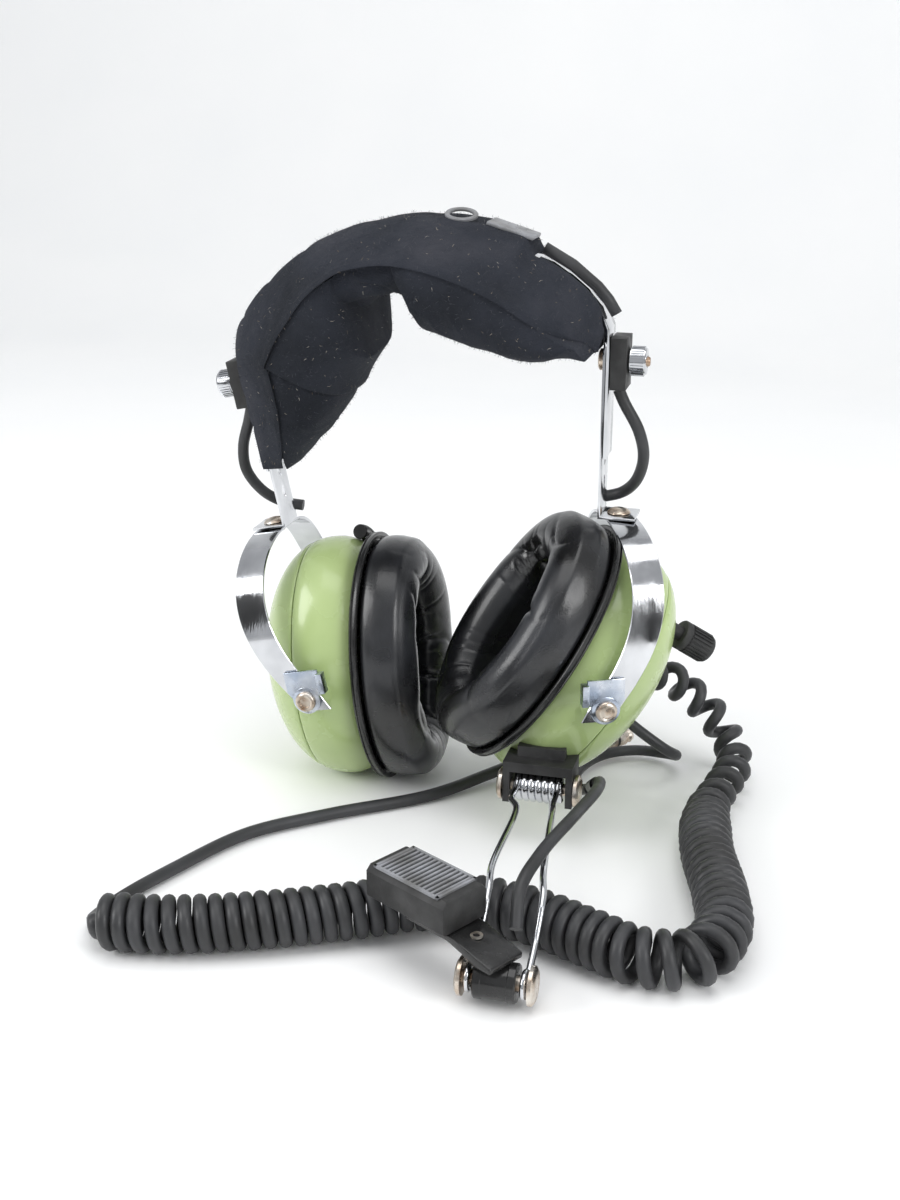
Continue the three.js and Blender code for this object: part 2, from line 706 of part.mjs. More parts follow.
mesh("boom_hinge_bracket", hingeBracket(), blackPlastic, model);
mesh("boom_hinge_coil", hingeCoil(), chrome, model);
mesh("boom_hinge_pin", pinWithHeads(13.6, 2.3, 6, HINGE), steel, model);
mesh("boom_wire_left", boomLeg(-1), chrome, model);
mesh("boom_wire_right", boomLeg(1), chrome, model);
model.add(micFrame);
mesh("mic_pivot_barrel", micBarrel(), blackPlastic, micFrame);
mesh("mic_pivot_pin", pinWithHeads(10.8, 2.5, 6.4, [0, 0, 0]), steel, micFrame);
const micHead = new THREE.Group();
micHead.rotation.z = radians(MIC_TURN);
micFrame.add(micHead);
mesh("mic_clip", micClip(), blackPlastic, micHead);
mesh("mic_capsule", micCapsule(), blackPlastic, micHead);

// ---------------------------------------------------------------- microphone lead
const loopRoute = [
  [64, 18, 31], [74, 16, 24], [86, 18, 15], [90, 26, 9], [84, 35, 5],
  [72, 37, 4], [60, 30, 4], [52, 14, 4], [54, -8, 6], [62.5, -24.5, 14.5],
];
const boomRoute = [
  [64, -27, 17], [68.5, -38, 25], [70, -56, 30], [67, -80, 32.5],
  [61, -112, 33], [58, -128, 29], [59, -138.5, 20],
];
mesh("mic_lead_loop", tube(loopRoute, LEAD_RADIUS, 22), rubber, model);
mesh("mic_lead_boom", tube(boomRoute, LEAD_RADIUS, 16), rubber, model);

// ---------------------------------------------------------------- crossover lead, along the band
const LEAD_OFFSET = WRAP_INNER + LEAD_RADIUS + 0.4;
const leadLine = bandLine(LEAD_OFFSET, 0.23, 0.34, 8).map((point) => [point.x, 0, point.y]);
mesh("crossover_lead", tube(leadLine, LEAD_RADIUS, 12), rubber, headset);

// ---------------------------------------------------------------- main cord
const CORD_EXIT = [72, 24, 47];
mesh(
  "cord_strain_relief",
  cut(tube([[56, 9, 56], [66, 19, 51], CORD_EXIT], 4, 4, 10), rightDome()),
  rubber,
  model,
);
const COIL_Z = COIL_RADIUS + 0.35; // lying on the table
const coilRoute = [
  [81, 33, 42], [92, 40, 32], [103, 40, 22], [111, 34, 13],
  [114, 22, COIL_Z], [112, 4, COIL_Z], [108, -22, COIL_Z],
  [111, -53, COIL_Z], [119, -84, COIL_Z], [122, -107, COIL_Z], [115, -125, COIL_Z], [99, -129, COIL_Z],
  [80, -122, COIL_Z], [60, -114, COIL_Z], [40, -111, COIL_Z], [20, -115, COIL_Z], [-2, -127, COIL_Z],
  [-31, -141, COIL_Z], [-60, -151, COIL_Z], [-82, -154, COIL_Z],
];
mesh("cord_coil", tube(coilRoute, COIL_RADIUS, 52, 8), rubber, model);
const TAIL_Z = CORD_RADIUS + 0.3;
const tailRoute = [
  [-85, -150, TAIL_Z], [-89, -141, TAIL_Z], [-86, -127, TAIL_Z], [-77, -104, TAIL_Z],
  [-61, -72, TAIL_Z], [-36, -49, TAIL_Z], [-2, -23, TAIL_Z], [18, -0.5, 4.4], [26.5, 7.6, 6],
];
mesh("cord_tail", tube(tailRoute, CORD_RADIUS, 30), rubber, model);

// Plug: sleeve, collar and contact pin on one axis
const plug = new THREE.Group();
plug.position.set(...PLUG_START);
plug.rotation.z = radians(PLUG_HEADING);
model.add(plug);
mesh("plug_sleeve", turned([[0, GAP], [4.6, GAP], [5.4, 3], [5.8, 24], [0, 24]], "x"), clear, plug);
mesh("plug_collar", turned([[0, 24.3], [5.6, 24.3], [5.6, 30], [0, 30]], "x"), blackPlastic, plug);
const rings = [36, 42, 48].flatMap((at) => [[3.5, at], [3.1, at + 0.4], [3.1, at + 1], [3.5, at + 1.4]]);
const contact = [[0, 30.3], [3.5, 30.3], ...rings, [3.5, 54], [1.2, 57.5], [0, 57.5]];
mesh("plug_pin", turned(contact, "x", 16), steel, plug);

// The origin lies under the middle of the headset with its boom, the free cord left out.
const ORIGIN = [4.95, -57, -0.02];
model.position.set(...ORIGIN.map((value) => -value));

export default model;
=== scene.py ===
# The aviation headset's looks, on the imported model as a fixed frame. Lengths are in millimetres
# in the headset's own coordinates; vertices are written in metres in the row frame.
import json
import math

import bmesh
import bpy
import numpy as np
from mathutils import Matrix, Vector, noise

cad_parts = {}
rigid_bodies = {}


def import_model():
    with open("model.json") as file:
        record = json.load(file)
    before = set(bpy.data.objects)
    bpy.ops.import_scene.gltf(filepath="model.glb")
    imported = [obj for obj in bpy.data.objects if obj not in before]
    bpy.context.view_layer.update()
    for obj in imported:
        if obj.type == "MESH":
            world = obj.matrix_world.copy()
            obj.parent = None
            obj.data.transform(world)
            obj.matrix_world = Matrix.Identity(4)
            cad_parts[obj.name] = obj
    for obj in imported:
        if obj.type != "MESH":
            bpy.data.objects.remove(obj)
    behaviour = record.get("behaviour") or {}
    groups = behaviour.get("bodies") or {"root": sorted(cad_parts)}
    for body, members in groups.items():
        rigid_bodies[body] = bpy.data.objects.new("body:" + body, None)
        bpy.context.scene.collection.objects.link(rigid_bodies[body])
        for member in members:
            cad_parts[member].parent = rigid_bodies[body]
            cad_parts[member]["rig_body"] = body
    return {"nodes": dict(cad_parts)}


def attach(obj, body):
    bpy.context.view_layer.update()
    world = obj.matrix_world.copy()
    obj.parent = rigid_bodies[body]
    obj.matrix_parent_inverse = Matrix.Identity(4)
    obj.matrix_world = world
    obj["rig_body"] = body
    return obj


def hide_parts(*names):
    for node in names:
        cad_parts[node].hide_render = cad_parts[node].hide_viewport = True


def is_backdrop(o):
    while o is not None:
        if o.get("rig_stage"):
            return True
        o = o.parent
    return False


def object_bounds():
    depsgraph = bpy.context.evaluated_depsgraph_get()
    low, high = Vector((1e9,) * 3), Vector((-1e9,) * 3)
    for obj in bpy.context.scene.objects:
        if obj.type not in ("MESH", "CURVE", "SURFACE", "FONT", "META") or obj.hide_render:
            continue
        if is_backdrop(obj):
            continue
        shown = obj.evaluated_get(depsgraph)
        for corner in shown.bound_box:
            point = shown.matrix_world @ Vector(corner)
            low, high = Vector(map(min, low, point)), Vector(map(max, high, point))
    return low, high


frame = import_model()
CAD_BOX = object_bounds()
RANDOM = np.random.default_rng(7)

# -------- dimensions, as in the CAD source
ORIGIN = (4.95, -57.0, -0.02)
LEAN = 6
LEAN_CENTRE_Z = 60
HEADSET_X = 2
FOOT_HALF_WIDTH = 63
FOOT_HEIGHT = 113.1
SIDE_SLOPE = 6
STRIP_THICK = 1
STRAIGHT_END = 68
CROWN_HEIGHT = 108.8
CLAMP_HEIGHT = 58
FOOT_AXIS_X = 7
STIRRUP_THICK = 1.2
STIRRUP_WIDTH = 12
ARM_Y = 41
PIN_DROP = 61.5
PIN_X = -15
CUP_HALF_Y = 37
CUP_HALF_Z = 50
CUP_DEPTH = 45
CUP_WAIST = 13
PARTING = 24
WALL = 0.06
PLATE_X = -16
CUP_CENTRE_Z = 2
CUP_ANGLE = {"left": -7, "right": 33}
SWIVEL = {"left": 0, "right": 25}
HINGE = (47, -46, 24)
MIC_PIVOT = (56, -152, 9)
MIC_TURN = 60
CORD_DIAMETER = 4.8
LEAD_DIAMETER = 4.4
CORD_EXIT = (72, 24, 47)
COIL_Z = 10.35
TAIL_Z = 2.7
PLUG_START = (27, 8, 6)
PLUG_HEADING = 44
BAND_X = STRIP_THICK + 0.3


# -------- frames
def turn(degrees, axis):
    return Matrix.Rotation(math.radians(degrees), 4, axis)


def shift(x, y, z):
    return Matrix.Translation((x, y, z))


MODEL = shift(*(-value for value in ORIGIN))
HEADSET = (
    MODEL @ shift(HEADSET_X, 0, LEAN_CENTRE_Z) @ turn(-LEAN, "Y") @ shift(0, 0, -LEAN_CENTRE_Z)
)
SIDE, STIRRUP, CUP = {}, {}, {}
for name, side in (("left", -1), ("right", 1)):
    slope = HEADSET @ shift(side * FOOT_HALF_WIDTH, 0, FOOT_HEIGHT) @ turn(side * SIDE_SLOPE, "Y")
    SIDE[name] = slope @ turn(180 if side < 0 else 0, "Z")
    STIRRUP[name] = SIDE[name] @ shift(FOOT_AXIS_X, 0, 0) @ turn(SWIVEL[name], "Z")
    CUP[name] = STIRRUP[name] @ shift(PIN_X, 0, -PIN_DROP) @ turn(CUP_ANGLE[name], "Y")
MIC = MODEL @ shift(*MIC_PIVOT)
MIC_HEAD = MIC @ turn(MIC_TURN, "Z")
PLUG = MODEL @ shift(*PLUG_START) @ turn(PLUG_HEADING, "Z")
AXIS_TURN = {"x": turn(-90, "Z"), "y": Matrix.Identity(4), "z": turn(90, "X")}


def placed(matrix, points):
    """Points in an array of any shape, moved by a matrix."""
    m = np.array(matrix)
    return np.asarray(points, float) @ m[:3, :3].T + m[:3, 3]


def linked(name, data):
    """A new object in the scene."""
    obj = bpy.data.objects.new(name, data)
    bpy.context.scene.collection.objects.link(obj)
    return obj


# -------- the camera
TARGET = placed(MODEL, [(0, 0, 78)])[0] / 1000
AZIMUTH, ELEVATION, DISTANCE = math.radians(15), math.radians(20), 0.620
camera = linked("camera", bpy.data.cameras.new("camera"))
towards = Vector(
    (
        math.sin(AZIMUTH) * math.cos(ELEVATION),
        -math.cos(AZIMUTH) * math.cos(ELEVATION),
        math.sin(ELEVATION),
    )
)
camera.location = Vector(TARGET) + towards * DISTANCE
camera.rotation_euler = towards.to_track_quat("Z", "Y").to_euler()
camera.data.lens = 46.8
camera.data.sensor_width = 36
camera.data.clip_start = 0.01
bpy.context.scene.camera = camera


# -------- materials
def new_material(name, base, roughness, metallic=0.0, **sockets):
    """A material with one Principled shader."""
    mat = bpy.data.materials.new(name)
    mat.use_nodes = True
    shader = mat.node_tree.nodes["Principled BSDF"]
    shader.inputs["Base Color"].default_value = (*base, 1)
    shader.inputs["Roughness"].default_value = roughness
    shader.inputs["Metallic"].default_value = metallic
    for socket, value in sockets.items():
        shader.inputs[socket.replace("_", " ")].default_value = value
    return mat


def object_noise(mat, scale, detail=4, stretch=(1, 1, 1)):
    tree = mat.node_tree
    where = tree.nodes.new("ShaderNodeTexCoord")
    mapping = tree.nodes.new("ShaderNodeMapping")
    mapping.inputs["Scale"].default_value = stretch
    cloud = tree.nodes.new("ShaderNodeTexNoise")
    cloud.inputs["Scale"].default_value = scale
    cloud.inputs["Detail"].default_value = detail
    tree.links.new(where.outputs["Object"], mapping.inputs["Vector"])
    tree.links.new(mapping.outputs["Vector"], cloud.inputs["Vector"])
    return cloud.outputs["Fac"]


def ramp(mat, value, stops):
    node = mat.node_tree.nodes.new("ShaderNodeValToRGB")
    while len(node.color_ramp.elements) < len(stops):
        node.color_ramp.elements.new(0.5)
    for element, (position, color) in zip(node.color_ramp.elements, stops):
        element.position = position
        element.color = (*color, 1)
    mat.node_tree.links.new(value, node.inputs["Fac"])
    return node.outputs["Color"]


def colour_from(mat, value, stops):
    shader = mat.node_tree.nodes["Principled BSDF"]
    mat.node_tree.links.new(ramp(mat, value, stops), shader.inputs["Base Color"])


def roughness_from(mat, value, low, high, start=0.35, end=0.7):
    node = mat.node_tree.nodes.new("ShaderNodeMapRange")
    for socket, number in zip(("From Min", "From Max", "To Min", "To Max"), (start, end, low, high)):
        node.inputs[socket].default_value = number
    mat.node_tree.links.new(value, node.inputs["Value"])
    shader = mat.node_tree.nodes["Principled BSDF"]
    mat.node_tree.links.new(node.outputs["Result"], shader.inputs["Roughness"])


def bump_from(mat, heights, strength, distance):
    """Bumps chained from one or more height fields."""
    shader = mat.node_tree.nodes["Principled BSDF"]
    previous = None
    for height in heights:
        bump = mat.node_tree.nodes.new("ShaderNodeBump")
        bump.inputs["Strength"].default_value = strength
        bump.inputs["Distance"].default_value = distance
        mat.node_tree.links.new(height, bump.inputs["Height"])
        if previous:
            mat.node_tree.links.new(previous, bump.inputs["Normal"])
        previous = bump.outputs["Normal"]
    mat.node_tree.links.new(previous, shader.inputs["Normal"])


def grey(value):
    return (value, value, value)


chrome = new_material("chrome", (0.74, 0.75, 0.77), 0.14, 1.0)
roughness_from(chrome, object_noise(chrome, 140, 6, (1, 1, 0.2)), 0.05, 0.2)
colour_from(chrome, object_noise(chrome, 60, 3), [(0.3, (0.5, 0.51, 0.53)), (0.7, (0.72, 0.73, 0.75))])
bump_from(chrome, [object_noise(chrome, 900, 2, (1, 1, 0.05))], 0.06, 0.0002)

blued = new_material("blued_steel", (0.3, 0.36, 0.46), 0.25, 1.0)
roughness_from(blued, object_noise(blued, 200, 5), 0.16, 0.42)
colour_from(blued, object_noise(blued, 90, 4), [(0.35, (0.34, 0.4, 0.5)), (0.65, (0.6, 0.63, 0.68))])
bump_from(blued, [object_noise(blued, 700, 3)], 0.1, 0.0002)

nickel = new_material("worn_nickel", (0.55, 0.48, 0.4), 0.3, 1.0)
roughness_from(nickel, object_noise(nickel, 260, 5), 0.2, 0.5)
colour_from(
    nickel,
    object_noise(nickel, 170, 5),
    [(0.32, (0.33, 0.2, 0.12)), (0.48, (0.58, 0.49, 0.4)), (0.7, (0.76, 0.72, 0.66))],
)
bump_from(nickel, [object_noise(nickel, 800, 3)], 0.15, 0.0002)

green = new_material("sage_plastic", (0.42, 0.5, 0.25), 0.2, Coat_Weight=0.35, Coat_Roughness=0.08)
roughness_from(green, object_noise(green, 45, 5), 0.16, 0.34)
colour_from(
    green,
    object_noise(green, 22, 5),
    [(0.3, (0.4, 0.52, 0.215)), (0.55, (0.46, 0.58, 0.255)), (0.8, (0.52, 0.63, 0.31))],
)
bump_from(green, [object_noise(green, 160, 2), object_noise(green, 1400, 2)], 0.035, 0.0004)

vinyl = new_material("black_vinyl", (0.012, 0.013, 0.016), 0.26, Coat_Weight=0.3, Coat_Roughness=0.15)
roughness_from(vinyl, object_noise(vinyl, 60, 6), 0.2, 0.42)
colour_from(vinyl, object_noise(vinyl, 30, 4), [(0.35, grey(0.009)), (0.75, (0.024, 0.026, 0.032))])
bump_from(vinyl, [object_noise(vinyl, 90, 4), object_noise(vinyl, 1700, 2)], 0.16, 0.0005)

plastic = new_material("black_plastic", (0.014, 0.014, 0.016), 0.3)
roughness_from(plastic, object_noise(plastic, 120, 5), 0.14, 0.34)
colour_from(plastic, object_noise(plastic, 80, 4), [(0.4, grey(0.01)), (0.75, grey(0.028))])
bump_from(plastic, [object_noise(plastic, 2000, 2)], 0.08, 0.0002)

matt = new_material("matt_black_moulding", (0.02, 0.02, 0.022), 0.55)
roughness_from(matt, object_noise(matt, 160, 5), 0.45, 0.7)
colour_from(matt, object_noise(matt, 110, 4), [(0.4, grey(0.016)), (0.75, grey(0.042))])
bump_from(matt, [object_noise(matt, 1500, 3)], 0.25, 0.0002)

jacket = new_material("cord_jacket", (0.035, 0.036, 0.039), 0.5)
roughness_from(jacket, object_noise(jacket, 90, 5), 0.4, 0.62)
colour_from(
    jacket,
    object_noise(jacket, 50, 5),
    [(0.3, grey(0.022)), (0.6, (0.036, 0.037, 0.04)), (0.85, (0.06, 0.06, 0.064))],
)
bump_from(jacket, [object_noise(jacket, 1300, 3)], 0.12, 0.0002)

fleece = new_material("napped_cloth", (0.016, 0.017, 0.022), 0.95, Specular_IOR_Level=0.2)
roughness_from(fleece, object_noise(fleece, 300, 4), 0.88, 1.0)
colour_from(
    fleece,
    object_noise(fleece, 26, 8),
    [(0.28, (0.015, 0.017, 0.022)), (0.52, (0.026, 0.029, 0.038)), (0.66, (0.04, 0.042, 0.052)),
     (0.8, (0.06, 0.053, 0.05))],
)
bump_from(fleece, [object_noise(fleece, 420, 8), object_noise(fleece, 1800, 4)], 0.55, 0.0009)

fibre = new_material("cloth_fibre", (0.03, 0.031, 0.038), 0.9)
colour_from(
    fibre, object_noise(fibre, 220, 3), [(0.35, (0.02, 0.022, 0.028)), (0.75, (0.1, 0.104, 0.12))]
)
lint = new_material("lint", (0.3, 0.27, 0.22), 0.9)
colour_from(lint, object_noise(lint, 300, 2), [(0.35, (0.16, 0.12, 0.08)), (0.7, (0.42, 0.4, 0.37))])

pale = new_material("pale_grey_plastic", (0.25, 0.26, 0.28), 0.45)
roughness_from(pale, object_noise(pale, 200, 4), 0.35, 0.6)
colour_from(pale, object_noise(pale, 120, 5), [(0.35, grey(0.16)), (0.75, (0.34, 0.35, 0.38))])
bump_from(pale, [object_noise(pale, 1200, 3)], 0.2, 0.0002)

clear = new_material("clear_sleeve", (0.42, 0.5, 0.44), 0.12, Transmission_Weight=0.75, IOR=1.45)
roughness_from(clear, object_noise(clear, 140, 4), 0.08, 0.25)
colour_from(clear, object_noise(clear, 60, 3), [(0.3, (0.36, 0.45, 0.38)), (0.8, (0.62, 0.68, 0.62))])


# -------- mesh helpers
def piece(name, verts, faces, mat, body, nodes=(), slot=None, sharp=40):
    """A mesh piece from vertices in millimetres of the row frame, riding on a body."""
    data = bpy.data.meshes.new(name)
    data.from_pydata((np.asarray(verts, float) / 1000).tolist(), [], faces)
    mesh = bmesh.new()
    mesh.from_mesh(data)
    bmesh.ops.remove_doubles(mesh, verts=mesh.verts, dist=1e-6)
    bmesh.ops.recalc_face_normals(mesh, faces=mesh.faces)
    mesh.to_mesh(data)
    mesh.free()
    data.shade_smooth()
    data.set_sharp_from_angle(angle=math.radians(sharp))
    data.materials.append(mat)
    obj = linked(name, data)
    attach(obj, body)
    if nodes:
        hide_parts(*nodes)
    return obj


def grid(points, close_u=False, close_v=True):
    """Faces of a grid of points[u][v]; open ends in u are capped."""
    rows, columns = points.shape[:2]
    faces = []
    for i in range(rows if close_u else rows - 1):
        for j in range(columns if close_v else columns - 1):
            a, b = i * columns + j, i * columns + (j + 1) % columns
            c, d = ((i + 1) % rows) * columns + (j + 1) % columns, ((i + 1) % rows) * columns + j
            faces.append((a, b, c, d))
    if not close_u and close_v:
        faces.append(tuple(range(columns))[::-1])
        faces.append(tuple((rows - 1) * columns + j for j in range(columns)))
    return points.reshape(-1, 3), faces


def merged(*meshes):
    verts, faces, start = [], [], 0
    for v, f in meshes:
        verts.append(np.asarray(v, float))
        faces += [tuple(i + start for i in face) for face in f]
        start += len(v)
    return np.concatenate(verts), faces


def lathe(profile, axis="x", matrix=Matrix.Identity(4), segments=64, scale=(1, 1, 1), closed=False):
    """A turned form from [radius, height] pairs round an axis; scale is across before placing."""
    angle = np.linspace(0, 2 * np.pi, segments, endpoint=False)
    rows = [
        np.stack([r * np.cos(angle), np.full(segments, float(h)), r * np.sin(angle)], 1)
        for r, h in ((max(r, 1e-3), h) for r, h in profile)
    ]
    points = placed(AXIS_TURN[axis], rows) * np.array(scale)
    return grid(placed(matrix, points), close_u=closed)


def block(low, high, matrix=Matrix.Identity(4)):
    (a, b, c), (d, e, f) = low, high
    corners = [(x, y, z) for x in (a, d) for y in (b, e) for z in (c, f)]
    faces = [(0, 1, 3, 2), (4, 6, 7, 5), (0, 4, 5, 1), (2, 3, 7, 6), (0, 2, 6, 4), (1, 5, 7, 3)]
    return placed(matrix, corners), faces


def smooth_line(points, spacing):
    """Evenly spaced points on a centripetal Catmull-Rom curve through the given ones."""
    p = np.asarray(points, float)
    p = np.vstack([2 * p[0] - p[1], p, 2 * p[-1] - p[-2]])
    fine = []
    for i in range(1, len(p) - 2):
        p0, p1, p2, p3 = p[i - 1 : i + 3]
        t0, t1 = 0.0, np.linalg.norm(p1 - p0) ** 0.5
        t2 = t1 + np.linalg.norm(p2 - p1) ** 0.5
        t3 = t2 + np.linalg.norm(p3 - p2) ** 0.5
        for t in np.linspace(t1, t2, 24, endpoint=False):
            a1 = (t1 - t) / (t1 - t0) * p0 + (t - t0) / (t1 - t0) * p1
            a2 = (t2 - t) / (t2 - t1) * p1 + (t - t1) / (t2 - t1) * p2
            a3 = (t3 - t) / (t3 - t2) * p2 + (t - t2) / (t3 - t2) * p3
            b1 = (t2 - t) / (t2 - t0) * a1 + (t - t0) / (t2 - t0) * a2
            b2 = (t3 - t) / (t3 - t1) * a2 + (t - t1) / (t3 - t1) * a3
            fine.append((t2 - t) / (t2 - t1) * b1 + (t - t1) / (t2 - t1) * b2)
    fine.append(p[-2])
    fine = np.array(fine)
    run = np.concatenate([[0], np.cumsum(np.linalg.norm(np.diff(fine, axis=0), axis=1))])
    count = max(2, int(round(run[-1] / spacing)))
    at = np.linspace(0, run[-1], count + 1)
    return np.stack([np.interp(at, run, fine[:, k]) for k in range(3)], 1)


def frames(line):
    """Tangents and two cross vectors carried along a line without twist."""
    tangent = np.gradient(line, axis=0)
    tangent /= np.linalg.norm(tangent, axis=1)[:, None]
    across = np.zeros_like(line)
    seed = np.cross(tangent[0], (0, 0, 1.0))
    if np.linalg.norm(seed) < 0.1:
        seed = np.cross(tangent[0], (1.0, 0, 0))
    across[0] = seed / np.linalg.norm(seed)
    for i in range(1, len(line)):
        v = across[i - 1] - tangent[i] * (across[i - 1] @ tangent[i])
        across[i] = v / np.linalg.norm(v)
    return tangent, across, np.cross(tangent, across)


def tube(line, radius, sides=16):
    """A round tube along a line; radius may change along it."""
    line = np.asarray(line, float)
    _, a, b = frames(line)
    radius = np.broadcast_to(radius, (len(line),))
    angle = np.linspace(0, 2 * np.pi, sides, endpoint=False)
    ring = a[:, None] * np.cos(angle)[None, :, None] + b[:, None] * np.sin(angle)[None, :, None]
    return grid(line[:, None] + radius[:, None, None] * ring)


def cord_curve(name, line, diameter, body, nodes):
    """A cord as a curve of one open spline along a line in millimetres of the row frame."""
    data = bpy.data.curves.new(name, "CURVE")
    data.dimensions = "3D"
    data.bevel_depth = diameter / 2000
    data.bevel_resolution = 4
    data.use_fill_caps = True
    spline = data.splines.new("POLY")
    spline.points.add(len(line) - 1)
    coordinates = np.hstack([np.asarray(line) / 1000, np.ones((len(line), 1))])
    spline.points.foreach_set("co", coordinates.ravel())
    spline.use_smooth = True
    data.materials.append(jacket)
    obj = linked(name, data)
    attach(obj, body)
    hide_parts(*nodes)
    return obj


# -------- the main cord
COIL_ROUTE = [
    CORD_EXIT, (81, 33, 42), (92, 40, 32), (103, 40, 22), (111, 34, 13),
    (114, 22, COIL_Z), (112, 4, COIL_Z), (108, -22, COIL_Z),
    (111, -53, COIL_Z), (119, -84, COIL_Z), (122, -107, COIL_Z), (115, -125, COIL_Z), (99, -129, COIL_Z),
    (80, -122, COIL_Z), (60, -114, COIL_Z), (40, -111, COIL_Z), (20, -115, COIL_Z), (-2, -127, COIL_Z),
    (-31, -141, COIL_Z), (-60, -151, COIL_Z), (-82, -154, COIL_Z),
]
TAIL_ROUTE = [
    (-85, -150, TAIL_Z), (-89, -141, TAIL_Z), (-86, -127, TAIL_Z), (-77, -104, TAIL_Z),
    (-61, -72, TAIL_Z), (-36, -49, TAIL_Z), (-2, -23, TAIL_Z), (18, -0.5, 4.4), (26.5, 7.6, 6),
    PLUG_START,
]
LOOSE_END = 105  # length of the loose turns by the cup
POINTS_PER_TURN = 18


def wound(route):
    """The helix round a route: loose, narrow turns by the cup, then close, wide ones."""
    step = 0.1
    line = smooth_line(route, step)
    tangent, across, other = frames(line)
    bend = np.linalg.norm(np.gradient(tangent, axis=0), axis=1) / step
    bend = np.convolve(bend, np.ones(121) / 121, "same")
    run = np.arange(len(line)) * step
    share = np.clip((run - LOOSE_END) / 26, 0, 1)
    radius = 5.1 + (7.6 - 5.1) * share
    radius *= np.clip(run / 14, 0, 1) * np.clip((run[-1] - run) / 5, 0, 1) ** 0.5
    close = 4.97 / np.clip(1 - 7.6 * bend, 0.55, 1)
    pitch = 11.5 * (1 - share) + close * share
    phase = np.concatenate([[0], np.cumsum(2 * np.pi * step / pitch)])[:-1]
    radial = across * np.cos(phase)[:, None] + other * np.sin(phase)[:, None]
    points = line + radial * radius[:, None]
    keep = np.unique(np.searchsorted(phase, np.arange(0, phase[-1], 2 * np.pi / POINTS_PER_TURN)))
    return points[keep]


coil = wound(COIL_ROUTE)
coil[:, 2] = np.maximum(coil[:, 2], CORD_DIAMETER / 2 + 0.02)
tail = smooth_line([coil[-1], *TAIL_ROUTE[1:]], 3)
main_line = placed(MODEL, np.vstack([coil[:-1], tail]))
main_cord = cord_curve("main_cord", main_line, CORD_DIAMETER, "right_cup", ["cord_coil", "cord_tail"])

# -------- the plug
sleeve_profile = [
    (0, 0.3), (3.4, 0.3), (4.5, 1.0), (4.9, 2.2), (5.4, 4), (5.75, 14), (5.8, 23.4), (5.3, 24), (0, 24),
]
plug_sleeve = piece(
    "plug_sleeve_clear", *lathe(sleeve_profile, "x", PLUG), clear, "right_cup",
    ["plug_sleeve"], "clear_plastic",
)
core = lathe([(0, 1.4), (2.6, 1.4), (2.8, 8), (3.9, 12), (3.9, 22), (0, 22)], "x", PLUG, 40)
plug_core = piece("plug_inner_core", *core, matt, "right_cup", (), "black_plastic")
collar_profile = [
    (0, 24.3), (5.1, 24.3), (5.6, 24.8), (5.6, 26.4), (5.2, 26.7), (5.2, 27.4), (5.6, 27.7), (5.6, 29.4),
    (5.2, 30), (0, 30),
]
plug_collar = piece(
    "plug_black_collar", *lathe(collar_profile, "x", PLUG), plastic, "right_cup",
    ["plug_collar"], "black_plastic",
)
contact_profile = [(0, 30.3), (3.5, 30.3)]
CONTACT_GAPS = (36, 42, 48)  # where insulating rings part the plug's four contacts
for at in CONTACT_GAPS:
    contact_profile += [(3.5, at), (3.35, at + 0.1), (3.35, at + 1.3), (3.5, at + 1.4)]
contact_profile += [(3.5, 52.6), (2.6, 54.2), (2.9, 55.2), (1.9, 57), (1, 57.5), (0, 57.5)]
plug_contact = piece(
    "plug_contact_pin", *lathe(contact_profile, "x", PLUG), nickel, "right_cup", ["plug_pin"], "steel", 30
)
rings = merged(*(
    lathe([(3.36, at + 0.15), (3.46, at + 0.2), (3.46, at + 1.2), (3.36, at + 1.25)], "x", PLUG)
    for at in CONTACT_GAPS
))
plug_rings = piece("plug_insulating_rings", *rings, matt, "right_cup", (), "black_plastic")
placed(MODEL, [CORD_EXIT])[0] / 1000

# -------- microphone leads
LOOP_ROUTE = [
    (64, 18, 31), (74, 16, 24), (86, 18, 15), (90, 26, 9), (84, 35, 5),
    (72, 37, 4), (60, 30, 4), (52, 14, 4), (54, -8, 6), (62.5, -24.5, 14.5),
]
BOOM_ROUTE = [
    (64, -27, 17), (68.5, -38, 25), (70, -56, 30), (67, -80, 32.5),
    (61, -112, 33), (58, -128, 29), (59, -138.5, 20),
]
for name, route, body in (
    ("mic_lead_loop", LOOP_ROUTE, "right_cup"),
    ("mic_lead_boom", BOOM_ROUTE, "boom"),
):
    line = placed(MODEL, smooth_line(route, 2))
    lead = cord_curve(f"{name}_cord", line, LEAD_DIAMETER, body, [name])

gland = smooth_line([(56, 9, 41), (60, 14, 36), (64, 18, 31), (67, 17.4, 29)], 1)
gland_radius = np.linspace(4.2, 2.9, len(gland))
gland_shape = tube(placed(MODEL, gland), gland_radius)
piece("mic_lead_gland", *gland_shape, plastic, "right_cup", (), "black_plastic")
relief = smooth_line([(60, 12, 54), (66, 19, 51), CORD_EXIT, (75, 27, 45.6)], 0.6)
relief_radius = np.linspace(4.1, 3.1, len(relief)) + 0.25 * np.sign(np.sin(np.arange(len(relief)) * 1.6))
piece(
    "cord_strain_relief_ribbed", *tube(placed(MODEL, relief), relief_radius, 24), plastic, "right_cup",
    ["cord_strain_relief"], "rubber",
)
shrink = placed(MODEL, smooth_line(BOOM_ROUTE[:2], 1)[:9])
piece("mic_lead_shrink_sleeve", *tube(shrink, 2.75, 20), plastic, "boom", (), "rubber")


# -------- ear cups
def dome_share(depth):
    """The cup's half size at a depth from the seal plate, as a share of its fullest."""
    if depth < CUP_WAIST:
        return 1 - 0.13 * ((CUP_WAIST - depth) / CUP_WAIST) ** 2
    return math.sqrt(max(0.0, 1 - ((depth - CUP_WAIST) / (CUP_DEPTH - CUP_WAIST)) ** 2.3))


